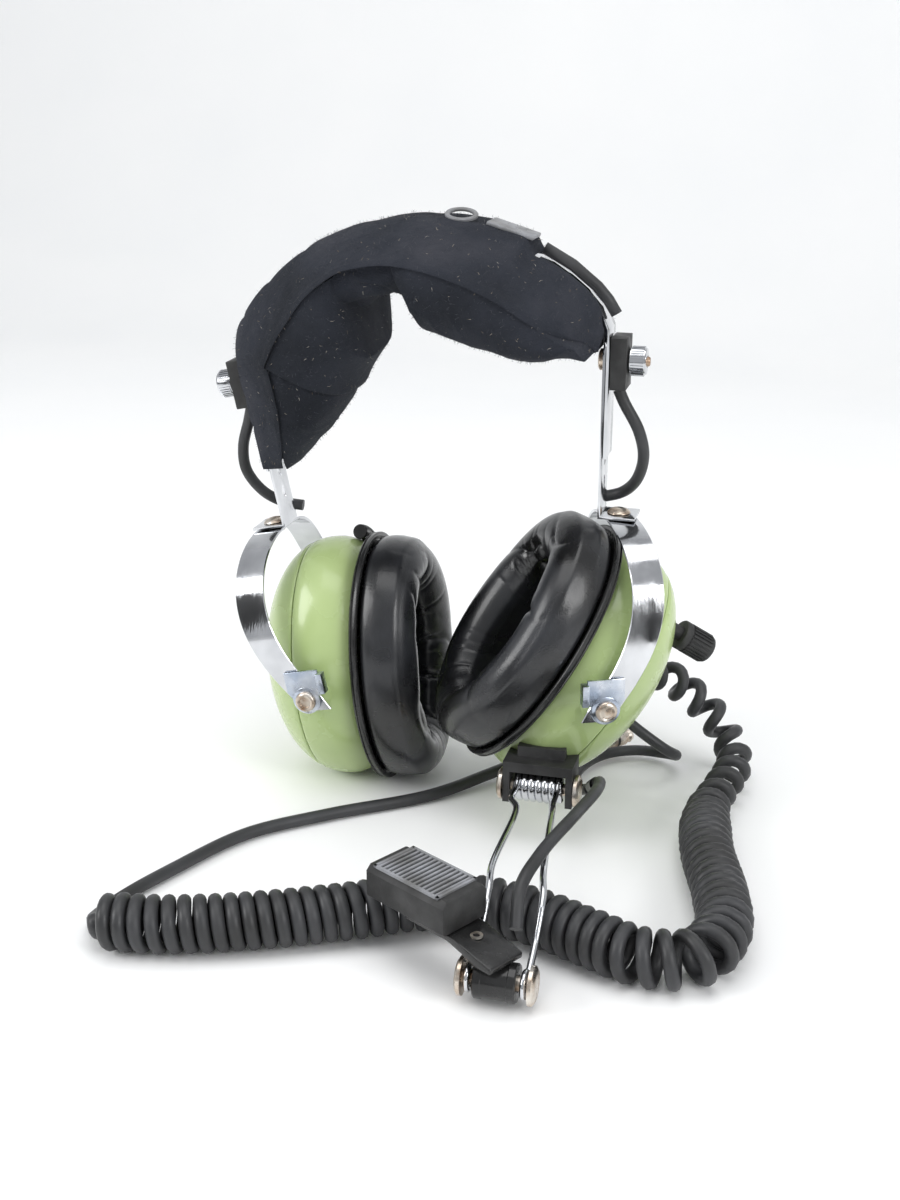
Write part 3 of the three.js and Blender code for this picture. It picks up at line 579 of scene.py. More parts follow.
def oval(pairs, name, segments=128, closed=True):
    place = CUP[name] @ shift(PLATE_X, 0, CUP_CENTRE_Z)
    return lathe(pairs, "x", place, segments, (1, CUP_HALF_Y, CUP_HALF_Z), closed)


def spaced(start, end, count):
    return [float(t) for t in np.linspace(start, end, count + 1)]


def rounded_rim(pairs, rim_depth, pull, reach):
    """Pulls the share in near a rim, for the fine line between two mouldings."""
    return [(s - pull * max(0, 1 - abs(d - rim_depth) / reach) ** 2, d) for s, d in pairs]


def inner_shell(name):
    outer = [(dome_share(d), d) for d in spaced(0, PARTING, 40)]
    outer = rounded_rim(rounded_rim(outer, PARTING, 0.012, 1.1), 0, 0.012, 1.4)
    inner = [(dome_share(d) - WALL, d) for d in spaced(PARTING, 0, 20)]
    shell = oval(outer + inner, name)
    bosses = [
        lathe(
            [(0, 33), (9.5, 33), (8.6, 35), (7.2, 37.2), (6.1, 38.6), (5.6, 39.2), (5, 39.5), (2.4, 39.5),
             (2.2, 39), (0, 39)],
            "y",
            CUP[name] @ turn(0 if front > 0 else 180, "Z"),
            56,
        )
        for front in (-1, 1)
    ]
    return merged(shell, *bosses)


def outer_shell(name):
    start, roof = PARTING + 0.3, CUP_DEPTH - 2.4
    outer = []
    for t in spaced(0, 1, 44):
        depth = start + (CUP_DEPTH - start) * math.sin(t * math.pi / 2)
        outer.append((dome_share(depth), depth))
    outer = rounded_rim(outer, start, 0.012, 1.1)
    outer[-1] = (0, CUP_DEPTH)
    inner = []
    for t in spaced(1, 0, 16):
        depth = start + (roof - start) * math.sin(t * math.pi / 2)
        inner.append((max(0, dome_share(depth * CUP_DEPTH / roof) - WALL), depth))
    inner[0] = (0, roof)
    return oval([*outer, *inner], name)


# The seal's section: share of the cup's half size against depth from the seal plate
SEAL_SECTION = [
    (0.5, -12), (0.51, -16.5), (0.58, -21), (0.7, -23.8), (0.82, -23.5), (0.93, -20.5),
    (0.99, -15), (1.0, -9), (0.97, -4.4), (0.86, -4.05), (0.7, -4.05), (0.56, -4.4),
]
SEAL_RADIUS = 45  # the section's scale while it is drawn round a circle
# The opening is a slot: narrow across, long up and down
SLOT_NARROWING = {"left": 1.26, "right": 1.08}
SLOT_LENGTHENING = 0.84


def ear_seal(name):
    """A stuffed vinyl ring: a smooth section with a welt, creased round its inner edge."""
    control = np.array([(s * SEAL_RADIUS, d) for s, d in [*SEAL_SECTION, SEAL_SECTION[0]]])
    section = smooth_line(np.column_stack([control, np.zeros(len(control))]), 0.9)[:-1, :2]
    columns = 300
    angle = np.linspace(0, 2 * np.pi, columns, endpoint=False)
    points = np.zeros((len(section), columns, 3))
    centre = section.mean(0)
    offset = 11.0 if name == "left" else 37.0
    for i, (radius, depth) in enumerate(section):
        outward = (section[i] - centre) / np.linalg.norm(section[i] - centre)
        innerness = np.clip((centre[0] + 5 - radius) / 12, 0, 1)
        faceness = np.clip((-depth - 10) / 10, 0, 1)
        welt = 0.55 * math.exp(-(((radius - 43.6) / 0.8) ** 2)) if depth < -12 else 0.0
        for j, a in enumerate(angle):
            loop = Vector((math.cos(a), math.sin(a), 0))
            slant = Vector((0, 0, radius * 0.045 + depth * 0.03))
            fold = noise.noise(loop * 1.7 + slant + Vector((offset, 0, 0)))
            crease = noise.noise(loop * 3.6 + slant * 1.6 + Vector((0, offset, 0)))
            broad = noise.noise(loop * 1.1 + slant * 0.4 + Vector((0, 0, offset)))
            dent = -(1 - abs(fold)) ** 10 * 2.0 * innerness - (1 - abs(crease)) ** 14 * 0.35 * innerness
            dent += broad * 1.2 * faceness - (1 - abs(fold)) ** 20 * 0.25 * faceness
            r = (radius + outward[0] * (dent + welt)) / SEAL_RADIUS
            points[i, j] = (
                depth + outward[1] * (dent + welt),
                CUP_HALF_Y * (1 - (1 - r) * SLOT_NARROWING[name]) * math.cos(a),
                CUP_HALF_Z * (1 - (1 - r) * SLOT_LENGTHENING) * math.sin(a),
            )
    place = CUP[name] @ shift(PLATE_X, 0, CUP_CENTRE_Z)
    return grid(placed(place, points), close_u=True)


PLATE_SECTION = [
    (0.62, -0.3), (0.62, -2), (0.97, -2.05), (0.985, -3.2), (0.995, -3.6), (1.02, -3.6), (1.03, -3.3),
    (1.03, -2.2), (1.018, -1.4), (1.028, -1.1), (1.02, -0.6), (1.008, -0.3),
]


def speaker_cone(name):
    place = CUP[name] @ shift(PLATE_X, 0, CUP_CENTRE_Z - 8)
    profile = [
        (0, 26.4), (5, 26), (6, 27.2), (15, 24.6), (16.4, 24), (18.6, 24), (19, 24.5), (19.5, 27),
        (13, 31), (12, 31.6), (12, 38), (11.4, 38.4), (0, 38.4),
    ]
    return lathe(profile, "x", place, 72)


for name in ("left", "right"):
    body = f"{name}_cup"
    for part, shape in (("inner", inner_shell(name)), ("outer", outer_shell(name))):
        node = f"{name}_{part}_shell"
        piece(f"{name}_{part}_moulding", *shape, green, body, [node], "green_plastic", 50)
    plate = oval(PLATE_SECTION, name)
    piece(f"{name}_plate_ring", *plate, plastic, body, [f"{name}_seal_plate"], "black_plastic")
    seal = piece(f"{name}_ear_cushion", *ear_seal(name), vinyl, body, [f"{name}_ear_seal"], "vinyl", 80)
    piece(f"{name}_driver", *speaker_cone(name), matt, body, [f"{name}_speaker"], "black_plastic")

KNOB_CENTRE = (PLATE_X, -3, CUP_CENTRE_Z + 30)
knob_place = CUP["right"] @ shift(*KNOB_CENTRE)
knob_profile = [
    (3.3, 43.4), (5.6, 43.4), (5.9, 43.8), (5.9, 46), (5.5, 46.5), (5.6, 56.4), (5.3, 57.3), (4.7, 57.8),
    (1, 57.8), (0.8, 57.3), (0, 57.3),
]
knob_shape = lathe(knob_profile, "x", knob_place, 72)
KNOB_RIBS = 24
ribs = [
    block((46.8, 5.3, -0.35), (56, 5.95, 0.35), knob_place @ turn(360 * i / KNOB_RIBS, "X"))
    for i in range(KNOB_RIBS)
]
piece(
    "volume_knob_ribbed", *merged(knob_shape, *ribs), matt, "volume_knob",
    ["volume_knob"], "black_plastic",
)
pointer = block((57.7, 1.5, -0.3), (57.95, 4.6, 0.3), knob_place)
piece("volume_pointer", *pointer, pale, "volume_knob", (), "grey_plastic")


# -------- stirrups
CROSSBAR_TOP = -STRIP_THICK - 0.3


def bow(drop):
    """How far the stirrup stands out of its pivot's plane at a drop from its crossbar."""
    share = drop / PIN_DROP
    return 4 * math.sin(math.pi * min(1, share)) + PIN_X * share**2


def stirrup_strip(name):
    """The strip as a swept section with slightly rounded edges."""
    steps, power = 120, 2 / 2.7
    centre, thick = [], STIRRUP_THICK / 2
    for i in range(steps + 1):
        angle = i / steps * math.pi
        c, s = math.cos(angle), math.sin(angle)
        y = (ARM_Y + thick) * math.copysign(abs(c) ** power, c)
        z = -PIN_DROP + (PIN_DROP + CROSSBAR_TOP - thick) * max(0, s) ** power
        centre.append((y, z))
    centre = [
        (ARM_Y + thick, -PIN_DROP - 5), (ARM_Y + thick, -PIN_DROP - 2), *centre,
        (-ARM_Y - thick, -PIN_DROP - 2), (-ARM_Y - thick, -PIN_DROP - 5),
    ]
    centre = np.array(centre)
    along = np.gradient(centre, axis=0)
    along /= np.linalg.norm(along, axis=1)[:, None]
    normal = np.column_stack([along[:, 1], -along[:, 0]])
    half = STIRRUP_WIDTH / 2
    section = [
        (half, thick * 0.4), (half - 0.3, thick), (-half + 0.3, thick), (-half, thick * 0.4),
        (-half, -thick * 0.4), (-half + 0.3, -thick), (half - 0.3, -thick), (half, -thick * 0.4),
    ]
    points = np.zeros((len(centre), len(section), 3))
    for i, ((y, z), (ny, nz)) in enumerate(zip(centre, normal)):
        for j, (x, t) in enumerate(section):
            py, pz = y + ny * t, z + nz * t
            points[i, j] = (x + bow(-pz), py, pz)
    return grid(placed(STIRRUP[name], points))


def refined(node, mat, bevel=0.25, sharp=35, name=None):
    """A CAD node's own shape with its edges eased, as a piece that stands for it."""
    source = frame["nodes"][node]
    data = bpy.data.meshes.new(name or f"{node}_finished")
    mesh = bmesh.new()
    mesh.from_mesh(source.data)
    bmesh.ops.remove_doubles(mesh, verts=mesh.verts, dist=2e-6)
    limit = math.radians(6)
    bmesh.ops.dissolve_limit(mesh, angle_limit=limit, verts=mesh.verts, edges=mesh.edges)
    if bevel:
        steep = math.radians(50)
        edges = [e for e in mesh.edges if len(e.link_faces) == 2 and e.calc_face_angle(0) > steep]
        bmesh.ops.bevel(
            mesh, geom=edges, offset=bevel / 1000, segments=2, profile=0.6, affect="EDGES",
            clamp_overlap=True,
        )
    bmesh.ops.triangulate(mesh, faces=[f for f in mesh.faces if len(f.verts) > 4])
    mesh.to_mesh(data)
    mesh.free()
    data.shade_smooth()
    data.set_sharp_from_angle(angle=math.radians(sharp))
    data.materials.clear()
    data.materials.append(mat)
    obj = linked(data.name, data)
    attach(obj, source["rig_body"])
    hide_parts(node)
    return obj


def screw_head(near, place):
    """A screw head with a dished face, out along +Y."""
    profile = [
        (0, 36), (1.9, 36), (1.9, near), (3.6, near), (4, near + 0.3), (4, near + 1.1), (3.6, near + 1.7),
        (2.9, near + 1.95), (2.3, near + 1.7), (2.1, near + 1.3), (0, near + 1.2),
    ]
    return lathe(profile, "y", place, 48)


NUT_RIBS = 32
for name, side in (("left", -1), ("right", 1)):
    body = f"{name}_stirrup"
    piece(f"{name}_stirrup_strip", *stirrup_strip(name), chrome, body, [f"{name}_stirrup"], "chrome", 30)
    for end, front in (("front", -side), ("rear", side)):
        pin = STIRRUP[name] @ shift(PIN_X, 0, -PIN_DROP) @ turn(0 if front > 0 else 180, "Z")
        refined(f"{name}_{end}_pivot_clip", blued, 0.2)
        screw = screw_head(ARM_Y + STIRRUP_THICK + 1.8, pin)
        piece(f"{name}_{end}_screw", *screw, nickel, body, [f"{name}_{end}_pivot_screw"], "steel")
        washer = lathe(
            [(2.2, 42.55), (5.2, 42.55), (5.5, 42.8), (5.5, 43.6), (5.1, 43.9), (2.2, 43.9)],
            "y", pin, 48, closed=True,
        )
        piece(f"{name}_{end}_collar", *washer, blued, body, (), "chrome")
    rivet_profile = [
        (0, 2), (1.6, 1.9), (3.2, 1.5), (4.2, 0.7), (4.4, 0.3), (1.9, 0.3), (1.9, -2.8), (3.6, -2.8),
        (3.5, -3.7), (2.8, -4), (0, -4),
    ]
    rivet = lathe(rivet_profile, "z", SIDE[name] @ shift(FOOT_AXIS_X, 0, 0), 48)
    piece(f"{name}_foot_rivet", *rivet, nickel, f"{name}_adjuster", [f"{name}_swivel_rivet"], "steel")
    refined(f"{name}_slide_strip", chrome, 0.15)
    refined(f"{name}_guide_block", matt, 0.7)
    block_x = BAND_X + STRIP_THICK + 0.3
    nut_x = block_x + 6.3
    clamp = SIDE[name] @ shift(0, 0, CLAMP_HEIGHT)
    bolt_profile = [
        (0, -2.3), (3.4, -2.3), (4, -1.8), (4, -0.3), (1.8, -0.3), (1.8, nut_x + 7), (1.4, nut_x + 7.5),
        (0, nut_x + 7.5),
    ]
    bolt = lathe(bolt_profile, "x", clamp, 40)
    piece(f"{name}_clamp_bolt", *bolt, nickel, "headband", [f"{name}_clamp_screw"], "steel")
    nut = lathe(
        [(2.2, nut_x), (4.6, nut_x), (5.1, nut_x + 0.5), (5.1, nut_x + 1.2), (5.1, nut_x + 5.4),
         (4.7, nut_x + 6.3), (3.2, nut_x + 6.5), (2.2, nut_x + 6.5)],
        "x", clamp, 64, closed=True,
    )
    knurls = [
        block((nut_x + 0.9, 4.9, -0.26), (nut_x + 5.5, 5.5, 0.26), clamp @ turn(360 * i / NUT_RIBS, "X"))
        for i in range(NUT_RIBS)
    ]
    piece(
        f"{name}_knurled_nut", *merged(nut, *knurls), chrome, f"{name}_nut", [f"{name}_thumb_nut"],
        "chrome", 30,
    )

refined("headband_spring", chrome, 0.15, 30)

# -------- the band's line
SLOPE = math.radians(SIDE_SLOPE)


def bezier(p0, p1, p2, p3, count=160):
    t = np.linspace(0, 1, count)[:, None]
    return (1 - t) ** 3 * p0 + 3 * (1 - t) ** 2 * t * p1 + 3 * (1 - t) * t**2 * p2 + t**3 * p3


def band_line():
    """The band's inner face from the right foot over the crown to the left foot, in (x, z)."""
    up = np.array([math.sin(SLOPE), math.cos(SLOPE)])
    out = np.array([math.cos(SLOPE), -math.sin(SLOPE)])
    foot = np.array([FOOT_HALF_WIDTH, FOOT_HEIGHT]) + BAND_X * out
    start = foot + STRAIGHT_END * up
    crown = np.array([0, FOOT_HEIGHT + CROWN_HEIGHT])
    arch = bezier(start, start + 14 * up, np.array([44, crown[1]]), crown)
    half = np.vstack([np.linspace(foot, start, 80)[:-1], arch])
    line = np.vstack([half, (half[::-1] * [-1, 1])[1:]])
    run = np.concatenate([[0], np.cumsum(np.linalg.norm(np.diff(line, axis=0), axis=1))])
    return line, run / run[-1]


BAND, BAND_SHARE = band_line()


def on_band(share, offset):
    """A point and the outward normal at a share of the band's length, in (x, z)."""
    def at(s):
        return np.array([np.interp(s, BAND_SHARE, BAND[:, 0]), np.interp(s, BAND_SHARE, BAND[:, 1])])
    along = at(share + 0.004) - at(share - 0.004)
    normal = np.array([along[1], -along[0]])
    normal = -normal / np.linalg.norm(normal)
    if normal @ (at(share) - np.array([0, FOOT_HEIGHT + 20])) < 0:
        normal = -normal
    return at(share) + normal * offset, normal


# -------- the pad
def soft_noise(p, size, seed):
    return noise.noise(Vector(p) / size + Vector((seed, seed * 1.7, seed * 0.3)))


def cloth_relief(here, seed, ripple):
    """How far the cloth stands out: slow swells, small ripples and a few creases."""
    x, y, z = here
    out = soft_noise(here, 26, seed) * ripple + soft_noise(here, 9, seed + 5) * ripple * 0.3
    crease = 1 - abs(soft_noise((x * 1.3, y * 0.6, z * 1.3), 24, seed + 9))
    return out - crease**10 * ripple * 0.7


def eased(t, pairs, blur=0.022):
    """A value from (t, value) pairs, with its corners rounded over the given reach."""
    at, values = zip(*pairs)
    return float(np.mean(np.interp(np.linspace(t - blur, t + blur, 9), at, values)))


def pad_top(share):
    """How high the cover's middle lies over the band."""
    return eased(
        share,
        [(0.2, -3), (0.235, -3), (0.25, -0.7), (0.343, -0.7), (0.357, 5.4), (0.5, 6.2), (0.6, 5.6),
         (0.7, 2.7), (0.93, 2.4)],
        0.006,
    )


def pad_seam(share):
    """The height of the seams between the cover and the lobes, from the band."""
    return eased(
        share,
        [(0.195, -3), (0.22, -7), (0.25, -11.5), (0.3, -13.5), (0.36, -12.5), (0.42, -10.5), (0.5, -7),
         (0.56, -7), (0.61, -11), (0.66, -16), (0.72, -19.5), (0.8, -20), (0.86, -18), (0.9, -13),
         (0.93, -7)],
        0.014,
    )


def pad_width(share):
    """Half the cover's width at its seams."""
    return eased(
        share,
        [(0.195, 8), (0.205, 16), (0.22, 26), (0.24, 34), (0.27, 39), (0.3, 41), (0.4, 41), (0.5, 39.5),
         (0.6, 38), (0.7, 34.5), (0.8, 31), (0.87, 26), (0.91, 17), (0.93, 9)],
        0.01,
    )


def lobe(ends, bottom, width, rise, seed, focus=None, rows=150, columns=140, power=2.7, ripple=1.2):
    """A stuffed cloth lobe along the band, from the seams down to its crowned and wrinkled
    bottom. It bulges up from the seams by rise, and its depth points towards the focus."""
    points = np.zeros((rows, columns, 3))
    start, end = ends
    for i in range(rows):
        t = 0.5 - 0.5 * math.cos(math.pi * (i + 0.5) / rows)
        share = start + (end - start) * t
        end_pull = min(1.0, math.sin(math.pi * t) * 3.4) ** 0.42
        base = pad_seam(share) - 0.4
        deep = max(1.0, base - bottom(share)) * end_pull
        half = width(share) * (0.82 + 0.18 * end_pull)
        at, normal = on_band(share, base)
        inward = normal if focus is None else (at - focus) / np.linalg.norm(at - focus)
        for j in range(columns):
            a = 2 * math.pi * j / columns
            c, s = math.cos(a), math.sin(a)
            y = half * math.copysign(abs(c) ** (2 / power), c)
            depth = (rise * end_pull if s > 0 else deep) * math.copysign(abs(s) ** (2 / power), s)
            axis = normal if s > 0 else inward
            x, z = at + axis * depth
            out = cloth_relief((x, y, z), seed, ripple)
            free = min(1.0, max(0.0, -depth / 5))
            y += math.copysign(out * 0.8, c) * abs(c) ** 0.5 * free
            x, z = at + axis * (depth + math.copysign(out, s) * abs(s) ** 0.5 * free)
            points[i, j] = (x, y, z)
    return grid(placed(HEADSET, points))


def cover(ends, seed, rows=210, half_columns=80, cloth=2.4):
    """The outer panel: it lies over the band like a roof, passes under the bare band at its right
    end, and its hems are sewn to the lobes along the seams."""
    columns = 2 * half_columns
    points = np.zeros((rows, columns, 3))
    for i in range(rows):
        share = ends[0] + (ends[1] - ends[0]) * i / (rows - 1)
        end_pull = min(1.0, math.sin(math.pi * i / (rows - 1)) * 6 + 0.1) ** 0.6
        (x, z), (nx, nz) = on_band(share, 0)
        top, seam, width = pad_top(share), pad_seam(share), pad_width(share)
        roof = eased(share, [(0.2, 1.9), (0.5, 1.7), (0.62, 1.45), (0.72, 1.2), (0.93, 1.3)])
        ridge = min(6.8, 0.6 * width)
        beside = 3.4 * min(1.0, max(0.0, (0.352 - share) / 0.02)) * min(1.0, width / 30)
        for j in range(columns):
            outside = j < half_columns
            v = 2 * (j if outside else columns - 1 - j) / (half_columns - 1) - 1
            y = width * abs(v)
            n = top - (top - seam) * max(0.0, (y - ridge) / (width - ridge)) ** roof
            n += beside * min(1.0, max(0.0, (y - 7.4) / 1.6)) * (1 - abs(v)) ** 0.5
            out = cloth_relief((x + nx * n, math.copysign(y, v), z + nz * n), seed, 1.0)
            loose = min(1.0, max(0.0, (y - 8) / 6)) if share < 0.36 else 1.0
            n += out * loose * (1 - abs(v) ** 6)
            edge = abs(v) ** 14
            hem = 0.5 * math.exp(-(((abs(v) - 0.95) / 0.03) ** 2))
            if outside:
                n += hem
            else:
                n -= cloth * end_pull * (1 - edge)
                y -= cloth * end_pull * (1 - edge) * abs(v)
            points[i, j] = (x + nx * n, math.copysign(max(y, 0.01), v), z + nz * n)
    return grid(placed(HEADSET, points))


def right_bottom(share):
    return eased(
        share,
        [(0.195, -6), (0.21, -16), (0.225, -23), (0.25, -30), (0.3, -35), (0.36, -37), (0.43, -36),
         (0.5, -33)],
        0.01,
    )


def left_bottom(share):
    return eased(
        share,
        [(0.57, -37), (0.6, -40), (0.65, -44), (0.7, -47), (0.75, -49), (0.8, -44), (0.85, -35),
         (0.9, -23), (0.93, -12)],
    )


def fold_bottom(share):
    return -19.5


def right_width(share):
    return eased(share, [(0.195, 30), (0.215, 39), (0.3, 40), (0.4, 40), (0.5, 38.5)], 0.01)


def left_width(share):
    return pad_width(share) - 1


def fold_width(share):
    return pad_width(share) - 6


right_lobe = lobe((0.198, 0.497), right_bottom, right_width, 2.0, 3.0, np.array([5, 150]))
left_lobe = lobe((0.575, 0.93), left_bottom, left_width, 2.0, 8.0, np.array([-5, 150]))
fold = lobe((0.44, 0.64), fold_bottom, fold_width, 1.0, 21.0, ripple=3.2)
cover_shape = cover((0.199, 0.926), 14.0)
pad_pieces = []
for name, shape, node in (
    ("right_pad_lobe", right_lobe, "pad_cushion_right"),
    ("left_pad_lobe", left_lobe, "pad_cushion_left"),
    ("pad_cover", cover_shape, "pad_wrap"),
):
    pad = piece(name, *shape, fleece, "headband", [node], "cloth", 85)
    pad_pieces.append(pad)
pad_pieces.append(piece("pad_fold", *fold, fleece, "headband", (), "cloth", 85))


def scattered(objects, count, rng):
    """Points and normals spread evenly over the objects' faces, in millimetres."""
    centres, normals, areas = [], [], []
    for obj in objects:
        for p in obj.data.polygons:
            corners = [np.array(obj.data.vertices[v].co) for v in p.vertices]
            centres.append(corners)
            normals.append(np.array(p.normal))
            areas.append(p.area)
    areas = np.array(areas)
    chosen = rng.choice(len(areas), count, p=areas / areas.sum())
    for index in chosen:
        corners = centres[index][:4]
        weights = rng.dirichlet(np.ones(len(corners)))
        yield sum(w * c for w, c in zip(weights, corners)) * 1000, normals[index]


def fibres(name, objects, count, length, thickness, lift, mat):
    """Loose fibres as slim bent blades standing out of or lying on a cloth."""
    verts, faces = [], []
    for at, normal in scattered(objects, count, RANDOM):
        side = np.cross(normal, RANDOM.normal(size=3))
        side /= np.linalg.norm(side)
        lean = np.cross(normal, side)
        reach = length * RANDOM.uniform(0.5, 1.3)
        rise = lift * RANDOM.uniform(0.4, 1.2)
        middle = at + lean * reach * 0.5 + normal * (rise * reach * 0.7 + 0.15)
        tip = at + lean * reach + normal * (rise * reach + 0.1) + side * reach * RANDOM.uniform(-0.4, 0.4)
        start = len(verts)
        verts += [at - side * thickness, at + side * thickness, middle + side * thickness * 0.8,
                  middle - side * thickness * 0.8, tip]
        faces += [(start, start + 1, start + 2, start + 3), (start + 3, start + 2, start + 4)]
    data = bpy.data.meshes.new(name)
    data.from_pydata((np.array(verts) / 1000).tolist(), [], faces)
    data.materials.append(mat)
    obj = linked(name, data)
    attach(obj, "headband")
    return obj


fibres("pad_nap", pad_pieces, 14000, 1.1, 0.05, 0.9, fibre)
fibres("pad_lint", pad_pieces, 1300, 1.3, 0.08, 0.25, lint)

# -------- snap ring and tab
def seat(share, offset):
    """The frame of a piece on the band's outside, +Z away from the wearer."""
    (x, z), (nx, nz) = on_band(share, offset + BAND_X)
    return HEADSET @ shift(x, 0, z) @ turn(math.degrees(math.atan2(nx, nz)), "Y")


ring_place = seat(0.437, 5.3) @ shift(0, -4, 0) @ turn(14, "X")
ring_profile = [(4.3, 0), (4.3, 0.7), (4.7, 1.1), (5.7, 1.1), (6.1, 0.7), (6.1, 0)]
ring = lathe(ring_profile, "z", ring_place, 64, closed=True)
piece("snap_ring_turned", *ring, pale, "headband", ["pad_snap_ring"], "grey_plastic")
refined("pad_tab", pale, 0.45)


# -------- crossover lead
def loop_points(rear):
    return [
        (5.2, 0, CLAMP_HEIGHT - 10.9), (7.6, 0, CLAMP_HEIGHT - 16), (13, rear, 32), (15, 3 * rear, 22),
        (12, 8 * rear, 11), (6, 12.5 * rear, 4.5), (-1, 13.5 * rear, 2),
    ]


GROMMET_DEPTH = 5.2  # from the seal plate
for name, side in (("left", -1), ("right", 1)):
    line = placed(SIDE[name], smooth_line(loop_points(side), 1.5))
    loop = piece(
        f"{name}_crossover_tube", *tube(line, LEAD_DIAMETER / 2, 18), jacket, f"{name}_adjuster",
        [f"{name}_crossover_loop"], "rubber",
    )
    share = dome_share(GROMMET_DEPTH)
    route = []
    for y in (7, 13, 19):
        height = CUP_HALF_Z * math.sqrt(share**2 - (y / CUP_HALF_Y) ** 2)
        route.append((PLATE_X + GROMMET_DEPTH, side * y, CUP_CENTRE_Z + height + 4))
    grommet = placed(CUP[name], smooth_line(route, 0.5))
    radius = 2.75 + 0.3 * np.sign(np.sin(np.arange(len(grommet)) * 2.1))
    piece(
        f"{name}_grommet_ribbed", *tube(grommet, radius, 20), plastic, f"{name}_cup",
        [f"{name}_lead_grommet"], "rubber",
    )
refined("crossover_lead", jacket, 0, 60)

# -------- boom hinge and wires
HINGE_PLACE = MODEL @ shift(*HINGE)
angle = np.linspace(0, 2 * np.pi * 6.6, 300)
spring = np.column_stack(
    [-9.5 + 19 * angle / angle[-1] * 0.9 + 0.95, 4.55 * np.cos(angle), 4.55 * np.sin(angle)]
)
piece(
    "hinge_spring_turns", *tube(placed(HINGE_PLACE, spring), 1.4, 14), chrome, "boom",
    ["boom_hinge_coil"], "chrome",
)


def headed_pin(half, shaft, head, place):
    profile = [
        (0, -half - 1.7), (1.2, -half - 2), (head - 1.2, -half - 2), (head, -half - 1.2), (head, -half),
        (shaft, -half), (shaft, half), (head, half), (head, half + 1.2), (head - 1.2, half + 2),
        (1.2, half + 2), (0, half + 1.7),
    ]
    return lathe(profile, "x", place, 56)


hinge_pin = headed_pin(13.6, 2.3, 6, HINGE_PLACE)
piece("hinge_pin_turned", *hinge_pin, nickel, "right_cup", ["boom_hinge_pin"], "steel")
refined("boom_hinge_bracket", matt, 0.5)
for sign, name in ((-1, "left"), (1, "right")):
    x = HINGE[0] + sign * 7.7
    end = MIC_PIVOT[0] + sign * 9.1
    route = [
        (x, HINGE[1] - 7.5, HINGE[2] + 1.5),
        (x + 0.6, HINGE[1] - 16, HINGE[2] + 2),
        (x + (end - x) * 0.35 - sign * 1.6, HINGE[1] - 24, HINGE[2] + 3),
        (x + (end - x) * 0.8, MIC_PIVOT[1] + 36, HINGE[2] + 4),
        (end, MIC_PIVOT[1] + 26, HINGE[2] + 1.5),
        (end, MIC_PIVOT[1] + 14, MIC_PIVOT[2] + 5.5),
        (end, MIC_PIVOT[1] + 3.9, MIC_PIVOT[2]),
    ]
    leg = tube(placed(MODEL, smooth_line([(x, HINGE[1] - 3.4, HINGE[2] + 3.6), *route], 1.2)), 1.2, 16)
    eye_line = [
        (end, MIC_PIVOT[1] + 4 * math.cos(a), MIC_PIVOT[2] + 4 * math.sin(a))
        for a in np.linspace(0, 2 * np.pi, 40)
    ]
    eye = tube(placed(MODEL, eye_line), 1.05, 14)
    wire = merged(leg, eye)
    piece(f"boom_wire_{name}_round", *wire, chrome, "boom", [f"boom_wire_{name}"], "chrome", 60)

# -------- microphone
barrel_profile = [
    (2.9, -7), (5.9, -7), (6.4, -6.5), (6.4, -4.4), (6.1, -4.1), (6.1, 4.1), (6.4, 4.4), (6.4, 6.5),
    (5.9, 7), (2.9, 7),
]
barrel = lathe(barrel_profile, "x", MIC, 72, closed=True)
piece("mic_barrel_turned", *barrel, plastic, "mic", ["mic_pivot_barrel"], "black_plastic")
piece("mic_pin_turned", *headed_pin(10.8, 2.5, 6.4, MIC), nickel, "boom", ["mic_pivot_pin"], "steel")
refined("mic_clip", plastic, 0.6)
refined("mic_capsule", matt, 0.9)
bars = [block((-8, y, 25.35), (8, y + 0.9, 25.95), MIC_HEAD) for y in np.arange(19, 46, 2.0)]
frame_bars = [
    block((-9, 17.5, 25.2), (9, 18.6, 26.1), MIC_HEAD),
    block((-9, 46, 25.2), (9, 47.1, 26.1), MIC_HEAD),
    block((-9, 17.5, 25.2), (-8, 47.1, 26.1), MIC_HEAD),
    block((8, 17.5, 25.2), (9, 47.1, 26.1), MIC_HEAD),
]
piece("mic_grille_bars", *merged(*bars, *frame_bars), pale, "mic", (), "grey_plastic", 30)
eyelet_place = MIC_HEAD @ shift(0, 9, 12.2)
eyelet = lathe([(1.2, 0), (2.1, 0), (2.1, 0.5), (1.2, 0.5)], "z", eyelet_place, 32, closed=True)
piece("mic_clip_eyelet", *eyelet, nickel, "mic", (), "steel")

# -------- CAD nodes that still show
for node, obj in frame["nodes"].items():
    if not obj.hide_render:
        obj.data.materials.clear()
        obj.data.materials.append(matt)

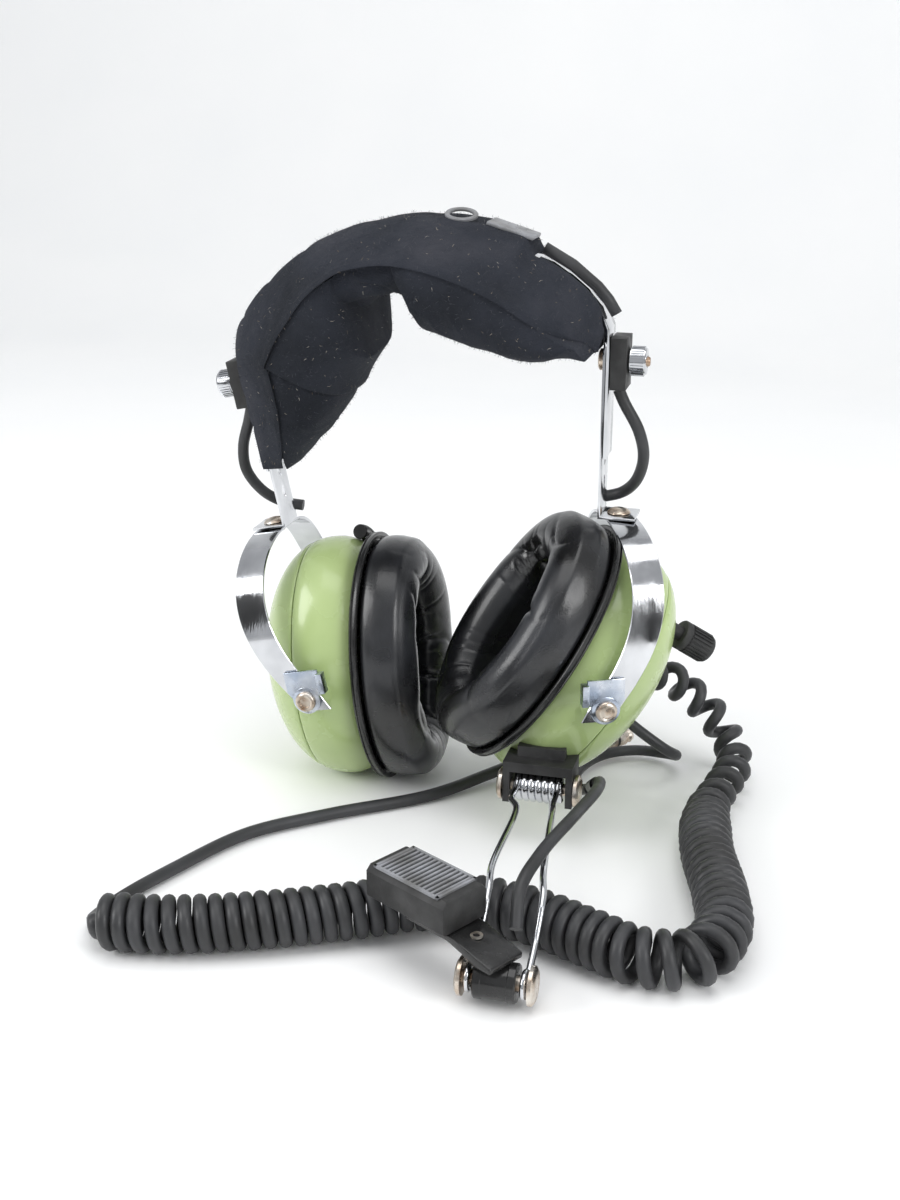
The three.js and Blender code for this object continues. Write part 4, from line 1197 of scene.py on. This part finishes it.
# -------- floor, backdrop and light
paper = new_material("backdrop_paper", (0.97, 0.97, 0.97), 0.75)
colour_from(paper, object_noise(paper, 6, 3), [(0.3, (0.955, 0.96, 0.96)), (0.7, (0.985, 0.985, 0.98))])
sweep = [(-2.5, 0)]
sweep += [(0.9 + 0.5 * math.sin(a), 0.5 - 0.5 * math.cos(a)) for a in np.linspace(0, math.pi / 2, 24)]
sweep += [(1.4, 2.5)]
back_verts = [(x, y, z) for y, z in sweep for x in (-3, 3)]
back_faces = [(2 * i, 2 * i + 1, 2 * i + 3, 2 * i + 2) for i in range(len(sweep) - 1)]
data = bpy.data.meshes.new("backdrop")
data.from_pydata(back_verts, [], back_faces)
data.shade_smooth()
data.materials.append(paper)
linked("backdrop", data)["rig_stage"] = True

# Black cards that only the chrome and the gloss reflect
card_black = new_material("dark_card", (0.03, 0.03, 0.03), 0.9)
for name, x, y, half, top in (
    ("card_left", -0.75, -1.0, 0.16, 0.9),
    ("card_right", 0.95, -0.95, 0.14, 0.9),
    ("card_low", 0.1, -1.3, 0.5, 0.12),
):
    data = bpy.data.meshes.new(name)
    corners = [(x - half, y, 0), (x + half, y, 0), (x + half, y, top), (x - half, y, top)]
    data.from_pydata(corners, [], [(0, 1, 2, 3)])
    data.materials.append(card_black)
    card = linked(name, data)
    card.visible_camera = False
    card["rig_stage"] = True

world = bpy.data.worlds.new("room")
world.use_nodes = True
world.node_tree.nodes["Background"].inputs["Color"].default_value = (0.95, 0.97, 1.0, 1)
world.node_tree.nodes["Background"].inputs["Strength"].default_value = 0.55
bpy.context.scene.world = world
bpy.context.scene.view_settings.view_transform = "Standard"
for name, place, size, power in (
    ("top_light", (0.0, -0.1, 1.3), 1.1, 7.5),
    ("left_light", (-1.1, -0.7, 0.8), 0.7, 9),
    ("right_light", (1.1, -0.6, 0.7), 0.6, 7),
):
    lamp = bpy.data.lights.new(name, "AREA")
    lamp.energy = power
    lamp.size = size
    light = linked(name, lamp)
    light.location = place
    light.rotation_euler = (Vector(place) - Vector((0, 0, 0.1))).to_track_quat("Z", "Y").to_euler()

for low, high in (CAD_BOX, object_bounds()):
    json.dumps([list(low), list(high)]) + "\n"
